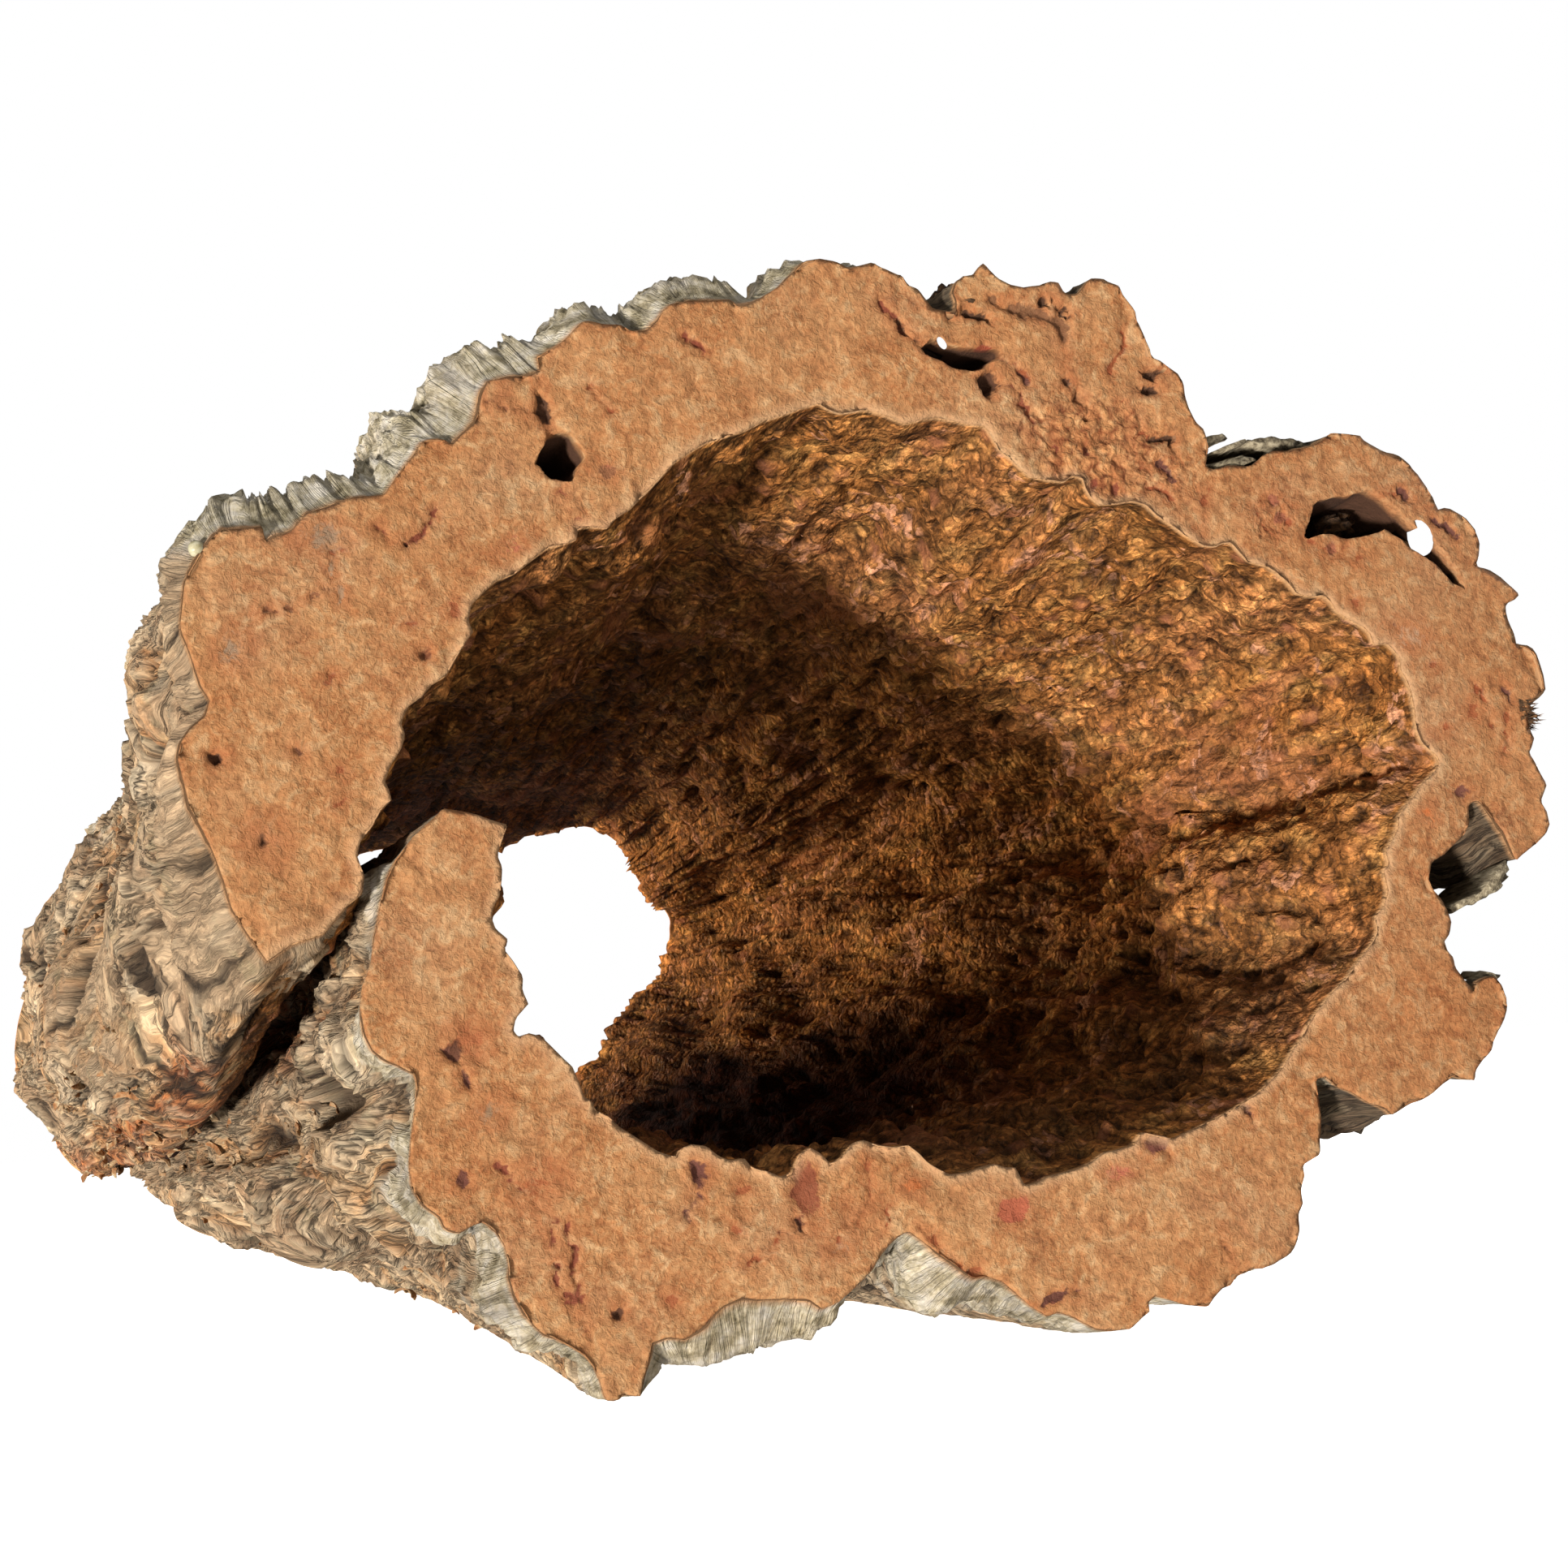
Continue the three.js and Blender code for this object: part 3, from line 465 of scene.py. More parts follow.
# %% The fine edge of the near saw cut, outside
RIM_OUTSIDE = [
    -82.6, 52.3, -84.6, 55.5, -86.1, 58.3, -86.7, 61.1, -87.4, 63.5, -88, 65.3, -88.9, 67.5, -90, 69.8,
    -90.5, 72.5, -91, 75.2, -90.6, 77, -89.5, 78.5, -87.7, 80, -87.2, 81.7, -88, 83.2, -88.5, 84.9,
    -89.2, 87.6, -90, 90, -89.6, 92.4, -89.2, 95.1, -88.6, 96.4, -87, 99, -85.5, 100.7, -84.7, 101.2,
    -80.2, 101.5, -80, 99.7, -79, 100.3, -77, 101, -75, 103.3, -73, 103.8, -70, 105, -66, 105.4,
    -64.5, 107.5, -62, 110.5, -61.3, 111.7, -60, 112.2, -58.4, 112.1, -57.6, 111.4, -56.4, 112.7,
    -54.7, 114.1, -54.1, 115.7, -53.6, 117.7, -52.7, 119.4, -50.6, 119.9, -47.6, 120.2, -46.2, 120.7,
    -46.5, 122.6, -45.1, 123.3, -43.3, 124.4, -41.8, 125.8, -40.7, 127, -39.7, 127.3, -37.7, 126.9,
    -35.7, 127, -34.4, 126.2, -32.4, 126.3, -30.9, 127.5, -30.1, 128.9, -29, 129.8, -26.6, 130.3,
    -23.7, 130.4, -21.2, 130.6, -20.1, 129.8, -18.3, 130.2, -16.1, 131.6, -13.9, 133.1, -12.3, 134.6,
    -10.7, 136.1, -8.4, 136.5, -6.3, 136.2, -4.8, 135.3, -3, 135.8, -1.3, 136.2, 0, 135.7, 1.4, 135.1,
    2.7, 134.6, 3.2, 133.6, 4.6, 133.1, 5.6, 131.7, 6.5, 130.4, 8.2, 130.2, 9.7, 130.1, 10, 131.5,
    9.6, 132.7, 10.1, 134, 11.4, 135.1, 12.9, 135.4, 13.8, 136.6, 14.4, 137, 15, 136.2, 16.2, 135,
    17.9, 134.2, 19.8, 133.9, 22.2, 134.3, 23.8, 134.9, 25, 134.8, 25.6, 133.6, 26.3, 133.1, 27.7, 133.3,
    28.8, 134.4, 29.7, 135.4, 31.7, 135.4, 34, 134.7, 34.5, 133.5, 36.1, 131.4, 36.2, 130, 37, 127.9,
    37.7, 126.1, 37.8, 125, 39.1, 124.5, 40, 123.8, 41.5, 122.8, 42.2, 121.5, 42.2, 119.7, 42.6, 118,
    43.4, 116.2, 44.5, 115.2, 45, 113, 44.1, 110.1, 45.2, 109.7, 47.6, 110.2, 49.6, 110.2, 51.3, 110.3,
    53.1, 111.7, 54.8, 112.4, 57.2, 112.4, 60.6, 113, 62.7, 113.8, 64.5, 115.1, 67, 115, 69.1, 114.8,
    69.7, 113.9, 72.4, 112.5, 75, 111.8, 76.5, 110.7, 77.9, 109.1, 78.9, 107.6, 79.6, 106.5, 80.2, 104.4,
    81.7, 104.6, 83.4, 104, 84.9, 103.1, 86.1, 101.6, 86.6, 99.7, 86.1, 97.7, 85.5, 96.5, 87.4, 95.7,
    89, 94.8, 90.9, 93.5, 92.2, 92.3, 91.1, 91.6, 89.7, 91.1, 89.4, 89.4, 89.9, 87.9, 90.4, 86.8, 90.4, 85.1,
    92.1, 85, 93.3, 84.3, 93.7, 83.6, 94, 82.1, 94.4, 80.3, 94.4, 78.9, 93, 78, 91.8, 77.1, 91, 75.9,
    90.8, 74.2, 90.9, 73.3, 91.4, 71.9, 90.9, 70.8, 90.3, 70, 91, 68.9, 91.7, 67.2, 92.6, 65.5, 91.2, 63.2,
    92, 61.8, 92.2, 60, 91.4, 58.7, 89.7, 57.5, 88.2, 56.7, 86.5, 55.7, 85.8, 55.2, 85.2, 57, 84.4, 59.2,
    82.8, 61.4, 81.6, 63, 80.8, 63.8, 79.4, 63.5, 79.1, 62.4, 79, 60.6, 78, 59.2, 76.3, 58.1, 74.2, 56.6,
    72.1, 55.8, 71.7, 54.5, 71.4, 53.5, 71.9, 52, 73, 50.6, 73.7, 49.1, 74.1, 47.6, 73.6, 46, 72.6, 45,
    72.9, 43.7, 73.7, 42.8, 73.8, 41.5, 75.5, 39, 76.4, 37.9, 76.9, 39.2, 78.2, 39.7, 79.9, 39.9, 80.9, 38.6,
    81.5, 36.8, 81.3, 35.4, 80.6, 34, 79.6, 32.7, 78.5, 31.2, 77.9, 30, 76, 28.6, 75, 27.6, 74.7, 26.3,
    73.1, 26.7, 71.4, 27.2, 69.6, 26.3, 67.8, 25.2, 66, 24.5, 63.9, 24.2, 62.1, 23.5, 61.2, 22.9, 60.1, 24,
    57.7, 24.8, 55.3, 26.4, 53.3, 27.2, 51.8, 28.7, 50.2, 28.5, 50.3, 26, 50.3, 23.6, 49.8, 20.9, 49.5, 18.9,
    46.7, 17.8, 46.9, 16.5, 46, 14.6, 46.1, 13, 45.3, 11.7, 45.2, 9.8, 44.5, 8.1, 43.2, 6.9, 41, 6.1,
    39, 5.5, 37.6, 5.7, 35.1, 4.9, 34.4, 4, 33, 3.7, 31.7, 2.7, 30.7, 1.7, 29.6, 1.9, 27.1, 2.5, 24.9, 3.4,
    23.4, 3.9, 22.4, 3.2, 22.5, 2.1, 21.2, 1.4, 19.5, 0.3, 16.6, 0.4, 14.8, 0.9, 13, 1.9, 12, 2.6, 9.9, 3.5,
    8.4, 3.1, 6.2, 4.6, 2.8, 7.9, 0.7, 8.8, -1, 8.7, -2.7, 10.2, -5.1, 12, -8.9, 15.2, -10.5, 14.6,
    -12.5, 13.2, -14, 11.1, -16.6, 9.2, -18.7, 7.9, -20.8, 7.4, -22.4, 8.7, -25.7, 9.1, -29, 9.4, -30.6, 9.8,
    -33.1, 9.1, -34.2, 8.3, -35.3, 7.2, -36.7, 6.5, -38, 5.9, -39.9, 6.4, -41.9, 6, -42.2, 4.5, -43.2, 2.2,
    -43.8, 0.2, -45.7, 0.7, -46.5, 0.1, -47.9, 0.3, -48.4, 2.6, -49, 4.2, -50, 5.6, -51.5, 6.7, -53.5, 8,
    -54.7, 8.6, -56.1, 10.3, -56.9, 11.9, -57.5, 13.2, -57.9, 15, -57.9, 16.9, -58.2, 18.7, -59.3, 20.6,
    -60.5, 21.5, -62, 21.2, -63.3, 20.6, -64.8, 21.2, -65.3, 22.6, -66.4, 23.5, -67.5, 24.6, -68.2, 26,
    -68.4, 28.4, -67.9, 31.8, -67.2, 35, -66.9, 37.1, -67.1, 38.6, -68.7, 39.6, -70.2, 40.4, -71.6, 41.6,
    -72.3, 43.4, -72.7, 46.4, -72.4, 48.5, -71.1, 51.5, -70.9, 52.7, -70.2, 55.7, -69.5, 58.4, -68.7, 60.8,
    -67.6, 62.8, -66.6, 64, -65.3, 65.5, -63.7, 66.8, -62.4, 67.8, -61.8, 68.5,
]
print(len(RIM_OUTSIDE) // 2, "points on the fine edge outside")

# %% The fine edge of the near saw cut, inside
RIM_INSIDE = [
    -60, 68.2, -57.8, 67.6, -56.2, 66.9, -54.3, 66.3, -55.5, 63.4, -55.8, 62.8, -55.3, 61.4, -55.5, 59.6,
    -55.8, 58.1, -56.6, 57, -57, 55.7, -56.6, 54.3, -55.3, 53.1, -55.8, 51.9, -54.8, 50.5, -53.8, 48.7,
    -54, 47.1, -53.4, 45.5, -55, 44, -55.4, 42.6, -54.8, 41.7, -53.7, 42.2, -52.2, 41.7, -51.2, 40.6,
    -49.7, 38.9, -48.8, 38, -48.2, 36.3, -47.7, 34.5, -46.5, 33.5, -46.7, 32.9, -44.8, 31.9, -43.8, 30.7,
    -42.3, 29.6, -40.8, 28.5, -39.3, 27.4, -37.2, 26.6, -36.8, 27.4, -35.3, 27.9, -33.4, 27.5, -32, 26.2,
    -30.6, 25.5, -28.9, 25.7, -28, 24.5, -26.1, 23.9, -24.5, 23.1, -23.1, 23.4, -22.7, 24.1, -21.9, 25.5,
    -20.5, 26.2, -19.2, 25.3, -18.1, 24, -16.5, 24.7, -15.2, 26, -13.8, 26.5, -12, 25.7, -9.9, 25.2,
    -7.8, 25.3, -6.5, 24.2, -5.5, 23, -2.9, 21.3, -0.4, 21.3, 1.8, 21.8, 3.4, 22, 4.7, 21.4, 6, 21.4,
    6.5, 20.3, 7.1, 19, 9.2, 19.3, 10, 19.8, 12.9, 20.1, 15.1, 20.5, 16.6, 21, 18.4, 22, 20.1, 22.1,
    22.7, 22.5, 24.1, 24, 27.5, 23.1, 28.2, 22.7, 31.4, 23.7, 34.6, 24.7, 37.2, 25.6, 39.7, 26.7, 41.6, 27.5,
    43.2, 28.7, 44.9, 29.8, 46.3, 31.3, 47.5, 32.8, 48.8, 33.9, 49.9, 35.5, 52, 37.5, 54.4, 39.6, 56.7, 41.2,
    59, 43.5, 61.2, 45.4, 62.4, 47.1, 62.2, 48.9, 63.7, 50.2, 64.8, 52.2, 64.6, 53.8, 64.4, 55.1, 65.5, 55.7,
    65.1, 57.5, 66.3, 58.9, 67.6, 60.6, 67.8, 62, 69.2, 63.6, 70.3, 64.4, 72, 66.3, 73.6, 67.3, 75, 68.5,
    75.5, 69.4, 75, 70.3, 73, 71.9, 72.4, 73.7, 72.5, 76.2, 72.3, 78.7, 71.9, 80.5, 71, 82, 71.2, 83.8,
    70.5, 84.6, 69.5, 85.7, 67.2, 85.5, 66.9, 87, 66, 88, 63.5, 89.2, 61.9, 90.3, 61.1, 91.9, 60.1, 92.5,
    58, 92.3, 56, 92.8, 54.8, 94.3, 53.3, 95.6, 51.8, 96.5, 49, 97.1, 47.9, 98.3, 46.8, 99.7, 45.4, 99.6,
    44.3, 99.1, 42.7, 99.2, 41.8, 99.7, 39.8, 100.8, 37.9, 102.2, 36, 103.3, 34.5, 104.8, 32.6, 105.3,
    30.3, 104.9, 27.6, 104.7, 26.5, 105.8, 25.8, 106.9, 25.6, 108.3, 24.1, 108.7, 22.8, 107.7, 20.5, 108,
    17.8, 108.4, 16.4, 109.8, 15.3, 110.9, 13.9, 111.9, 13, 113.7, 12.2, 115.1, 10.3, 115.2, 8, 115.6,
    5.5, 116.1, 3.2, 115.7, 1, 115.2, -1.2, 116.1, -2.7, 116.6, -4.3, 116.9, -6, 116.5, -7.8, 116.2,
    -9.3, 116.7, -10.5, 117.6, -12.9, 116.9, -15.6, 115.9, -18.1, 115.2, -20.6, 113.9, -23.5, 113,
    -25.9, 112.3, -28.1, 111.1, -30.2, 109.8, -31.7, 108.2, -33.6, 106.3, -35.4, 104.8, -36.2, 104,
    -38.3, 102.7, -39.4, 101.4, -41.8, 101.7, -43.1, 101.4, -43.3, 100.1, -44.7, 99.6, -47.1, 99.1,
    -49.5, 97.3, -51.2, 96, -53.5, 95.2, -54.8, 94.1, -56.7, 92.3, -57.2, 90.4, -56.7, 89, -57.6, 88,
    -58.6, 86.5, -59.6, 85, -60.2, 84, -62, 83, -63.3, 81.5, -64.9, 80.5, -65.9, 78.6, -65.5, 77,
    -66.1, 75.5, -67.4, 73.7, -68.2, 71.9, -67.7, 70.6, -67.6, 69.6, -68.8, 68.7, -70, 66.7, -71.5, 65,
    -71.9, 63.4, -71.2, 61.2, -71.6, 59.1, -73.3, 58.1, -76.2, 55, -79.8, 54,
]
print(len(RIM_INSIDE) // 2, "points on the fine edge inside")

# %% Match the fine edge to the ring
# The step on the fine edge, and how fast its difference from the coarse ring fades behind the cut.
FINE_STEP = 0.3
RIM_FADE = 7.0


def ring_at(values, places):
    """Values on the coarse ring, smoothly read at fractional column numbers."""
    i = np.floor(places).astype(int)
    t = (places - i)[:, None]
    p0, p1, p2, p3 = [values[..., (i + k) % COLUMNS, :] for k in (-1, 0, 1, 2)]
    return 0.5 * (
        2 * p1 + (p2 - p0) * t
        + (2 * p0 - 5 * p1 + 4 * p2 - p3) * t**2
        + (3 * p1 - 3 * p2 + p3 - p0) * t**3
    )


def evenly(points, step):
    """A closed outline as points about one step apart, starting at its first point."""
    closed = np.vstack([points, points[:1]])
    run = np.concatenate([[0], np.cumsum(np.linalg.norm(np.diff(closed, axis=0), axis=1))])
    places = np.linspace(0, run[-1], round(run[-1] / step), endpoint=False)
    return np.stack([np.interp(places, run, closed[:, k]) for k in (0, 1)], axis=1), places / run[-1]


fine_rim, fine_share = evenly(pairs(RIM_OUTSIDE + RIM_INSIDE), FINE_STEP)
coarse_places = np.arange(0, COLUMNS, 0.05)
coarse_ring = ring_at(near, coarse_places)
coarse_share = np.interp(coarse_places, np.arange(COLUMNS), around) / around[-1]
# Places that lie at different shares of the way around cost as much as this distance apart.
SHARE_TO_MM = 275
fine_places = np.empty(len(fine_rim))
for k, (point, share) in enumerate(zip(fine_rim, fine_share)):
    cost = ((coarse_ring - point) ** 2).sum(axis=1) + ((coarse_share - share) * SHARE_TO_MM) ** 2
    fine_places[k] = coarse_places[cost.argmin()]
fine_places = np.maximum.accumulate(fine_places)
spread = np.ones(9) / 9
padded = np.concatenate([np.full(4, fine_places[0]), fine_places, np.full(4, fine_places[-1])])
fine_places = np.convolve(padded, spread, "valid") + np.arange(len(fine_rim)) * 1e-6
rim_shift = fine_rim - ring_at(near, fine_places)
print(len(fine_rim), "places on the fine edge, at most", round(np.abs(rim_shift).max(), 2), "mm off the ring")

# %% The surface at any place
def surface(places, alongs):
    """The sheet's surface at fractional columns and distances: points and outward directions."""
    points, outward = solid_sections(alongs)
    points, outward = ring_at(points, places), ring_at(outward, places)
    outward /= np.linalg.norm(outward, axis=2, keepdims=True)
    shift = [np.interp(places, fine_places, rim_shift[:, k], period=COLUMNS) for k in (0, 1)]
    shift = np.stack(shift, axis=1)
    fade = np.exp(-np.asarray(alongs) / RIM_FADE)[:, None, None]
    return points + shift * fade, outward

# %% [markdown]
# ## Finishes
# Every finish is a small node tree. `add` puts one shader node in and joins its sockets, `tone` turns
# a colour as it looks on the lit branch into the colour of the surface itself, and `ramp` and `blend`
# mix colours. All textures are read in millimetres from the object's own coordinates.

# %% Helpers for the finishes
LIGHT_ON_SURFACE = 1.72
NEAR_CUT, FAR_CUT = -LENGTH / 2, LENGTH / 2


def tone(red, green, blue):
    """The surface colour that looks like this 8-bit colour in the scene's light."""
    seen = np.array([red, green, blue]) / 255
    linear = np.where(seen <= 0.04045, seen / 12.92, ((seen + 0.055) / 1.055) ** 2.4)
    return (*(linear / LIGHT_ON_SURFACE), 1.0)


def join(tree, sockets, inputs):
    """Gives each input either a value or another node's output."""
    for key, value in inputs.items():
        if isinstance(value, bpy.types.NodeSocket):
            tree.links.new(value, sockets[key])
        else:
            sockets[key].default_value = value


def add(tree, kind, inputs, **settings):
    """One shader node with its settings and its inputs."""
    node = tree.nodes.new("ShaderNode" + kind)
    for key, value in settings.items():
        setattr(node, key, value)
    join(tree, node.inputs, inputs)
    return node


def blend(tree, factor, low, high, way="MIX"):
    """Colour low where the factor is 0 and colour high where it is 1."""
    inputs = {0: factor, 6: low, 7: high}
    return add(tree, "Mix", inputs, data_type="RGBA", blend_type=way).outputs[2]


def shade(tree, factor, colour, by):
    """A colour multiplied by another one, as far as the factor says."""
    return blend(tree, factor, colour, by, "MULTIPLY")


def ramp(tree, factor, stops):
    """Looks between places from 0 to 1: grey values, colours as they look, or plain ones with an alpha."""
    node = add(tree, "ValToRGB", {"Fac": factor})
    stops_made = node.color_ramp.elements
    while len(stops_made) < len(stops):
        stops_made.new(0.5)
    for made, (place, colour) in zip(stops_made, stops):
        made.position = place
        if isinstance(colour, tuple):
            made.color = tone(*colour) if len(colour) == 3 else colour
        else:
            made.color = (colour, colour, colour, 1)
    return node.outputs["Color"]

# %% Patterns and reliefs for the finishes
def grain(tree, place, scale, detail=3.0, roughness=0.55, **more):
    """Noise from 0 to 1, with its scale in waves per millimetre."""
    inputs = {"Vector": place, "Scale": scale, "Detail": detail, "Roughness": roughness, **more}
    return add(tree, "TexNoise", inputs).outputs["Fac"]


def ridges(tree, place, scale, detail=3.0):
    """Thin wandering lines: 0 on a line and more beside it."""
    middle = sums(tree, "SUBTRACT", grain(tree, place, scale, detail, 0.58, Distortion=0.8), 0.5)
    return sums(tree, "ABSOLUTE", middle)


def stir(tree, place, scale, reach):
    """Coordinates pushed about by noise, by up to about half the reach in millimetres."""
    push = add(tree, "TexNoise", {"Vector": place, "Scale": scale, "Detail": 3.0}).outputs["Color"]
    centred = add(tree, "VectorMath", {0: push, 1: (0.5, 0.5, 0.5)}, operation="SUBTRACT").outputs[0]
    pushed = {0: centred, 1: (reach, reach, reach), 2: place}
    return add(tree, "VectorMath", pushed, operation="MULTIPLY_ADD").outputs[0]


def sums(tree, way, a, b=0.5, c=0.5):
    """One sum of two or three numbers, such as ADD, MULTIPLY or MULTIPLY_ADD."""
    return add(tree, "Math", {0: a, 1: b, 2: c}, operation=way).outputs[0]


def new_finish(name):
    """A material, its tree, its shader and the object's coordinates in millimetres."""
    made = bpy.data.materials.new(name)
    made.use_nodes = True
    tree = made.node_tree
    place = add(tree, "TexCoord", {}).outputs["Object"]
    scaled = add(tree, "VectorMath", {0: place, 3: 1000}, operation="SCALE").outputs[0]
    return made, tree, tree.nodes["Principled BSDF"], scaled


def bump(tree, height, distance, strength):
    """A relief as deep as the distance in millimetres."""
    inputs = {"Height": height, "Distance": distance / 1000, "Strength": strength}
    return add(tree, "Bump", inputs).outputs["Normal"]


def change(tree, place, axis, low, high, first=0.0, last=1.0):
    """Goes from the first to the last number while the place goes from low to high along an axis."""
    where = add(tree, "SeparateXYZ", {0: place}).outputs[axis]
    return add(tree, "MapRange", {0: where, 1: low, 2: high, 3: first, 4: last}).outputs[0]


def rim_of(tree, place):
    """0.9 at the near saw cut and 0 a millimetre behind it."""
    return change(tree, place, "Y", NEAR_CUT + 0.5, NEAR_CUT + 1.4, 0.9, 0.0)


def value_of(tree, name):
    """The number that was written on the mesh under this name."""
    return add(tree, "Attribute", {}, attribute_name=name).outputs["Fac"]

# %% [markdown]
# ## Pieces
# The sheet of bark grew as one piece, so all its layers stand for the solid's one node. They are
# separate meshes because each needs its own columns and rows: a core with both saw cuts, a lining for
# the hollow, and a crust of bark in four panels. `closed_slab` makes a layer as a closed body from a
# grid of front points and a grid of back points.

# %% Helpers for the pieces
def make_mesh(name, points, faces, finish, smooth=True):
    """An object in the scene from metre points and faces."""
    mesh = bpy.data.meshes.new(name)
    mesh.from_pydata(points.tolist(), [], faces if isinstance(faces, list) else faces.tolist())
    mesh.polygons.foreach_set("use_smooth", np.full(len(mesh.polygons), smooth))
    mesh.materials.append(finish)
    made = bpy.data.objects.new(name, mesh)
    bpy.context.scene.collection.objects.link(made)
    return made


def grid_faces(rows, columns, first=0, closed=False):
    """Four-cornered faces of a grid of points, counted row by row."""
    i, j = np.meshgrid(np.arange(rows - 1), np.arange(columns if closed else columns - 1), indexing="ij")
    a = first + i * columns + j
    b = first + i * columns + (j + 1) % columns
    return np.stack([a, b, b + columns, a + columns], axis=-1).reshape(-1, 4)


def strip(first_line, second_line):
    """Faces between two lines of vertex numbers of the same length."""
    return np.stack([first_line[:-1], first_line[1:], second_line[1:], second_line[:-1]], axis=1)


def closed_slab(name, front, back, finish):
    """A closed layer. Front and back are grids of metre points with the same number of columns."""
    front, back = [np.clip(grid, *np.array(cad_box)) for grid in (front, back)]
    rows, columns = front.shape[:2]
    top = np.arange(rows * columns).reshape(rows, columns)
    low = rows * columns + np.arange(back.shape[0] * columns).reshape(-1, columns)
    faces = np.concatenate([
        grid_faces(rows, columns),
        grid_faces(back.shape[0], columns, rows * columns)[:, ::-1],
        strip(top[0, ::-1], low[0, ::-1]),
        strip(top[-1], low[-1]),
    ]).tolist()
    faces.append([*top[:, 0].tolist(), *low[::-1, 0].tolist()])
    faces.append([*top[::-1, -1].tolist(), *low[:, -1].tolist()])
    made = make_mesh(name, np.concatenate([front.reshape(-1, 3), back.reshape(-1, 3)]), faces, finish)
    for face in made.data.polygons[-2:]:
        face.use_smooth = False
    return made


def tube_faces(rings, sides):
    """Faces of a closed body of stacked rings, with a cap at each end."""
    last = (rings - 1) * sides
    caps = [list(range(sides))[::-1], list(range(last, last + sides))]
    return grid_faces(rings, sides, closed=True).tolist() + caps

# %% Helpers that write on pieces and cut them
def write_values(made, name, values, kind="FLOAT", key="value"):
    """Puts values on the vertices of a mesh, for its finish to read."""
    own = np.asarray(values, np.float32).ravel()
    made.data.attributes.new(name, kind, "POINT").data.foreach_set(key, own)


def triangles(made):
    """How many triangles a piece has."""
    return sum(len(face.vertices) - 2 for face in made.data.polygons)


def apply_modifiers(made):
    """Makes what the modifiers show the piece's own mesh."""
    mesh = bpy.data.meshes.new_from_object(made.evaluated_get(bpy.context.evaluated_depsgraph_get()))
    made.modifiers.clear()
    old, made.data = made.data, mesh
    bpy.data.meshes.remove(old)


def without(made, *cutters):
    """Takes closed cutting bodies out of a closed piece. The cutters are used up."""
    for cutter in cutters:
        cut = made.modifiers.new("cut", "BOOLEAN")
        cut.operation, cut.solver, cut.object = "DIFFERENCE", "MANIFOLD", cutter
    apply_modifiers(made)
    for cutter in cutters:
        bpy.data.objects.remove(cutter)

# %% [markdown]
# ### The marks of the near saw cut
# The saw went through worm tracks, cracks between growth layers and small knots. Each is a short line
# or a spot with its own colour, and most of them lie a little below the cut. A line is given by its
# points and a spot by its middle, its size and its turn.

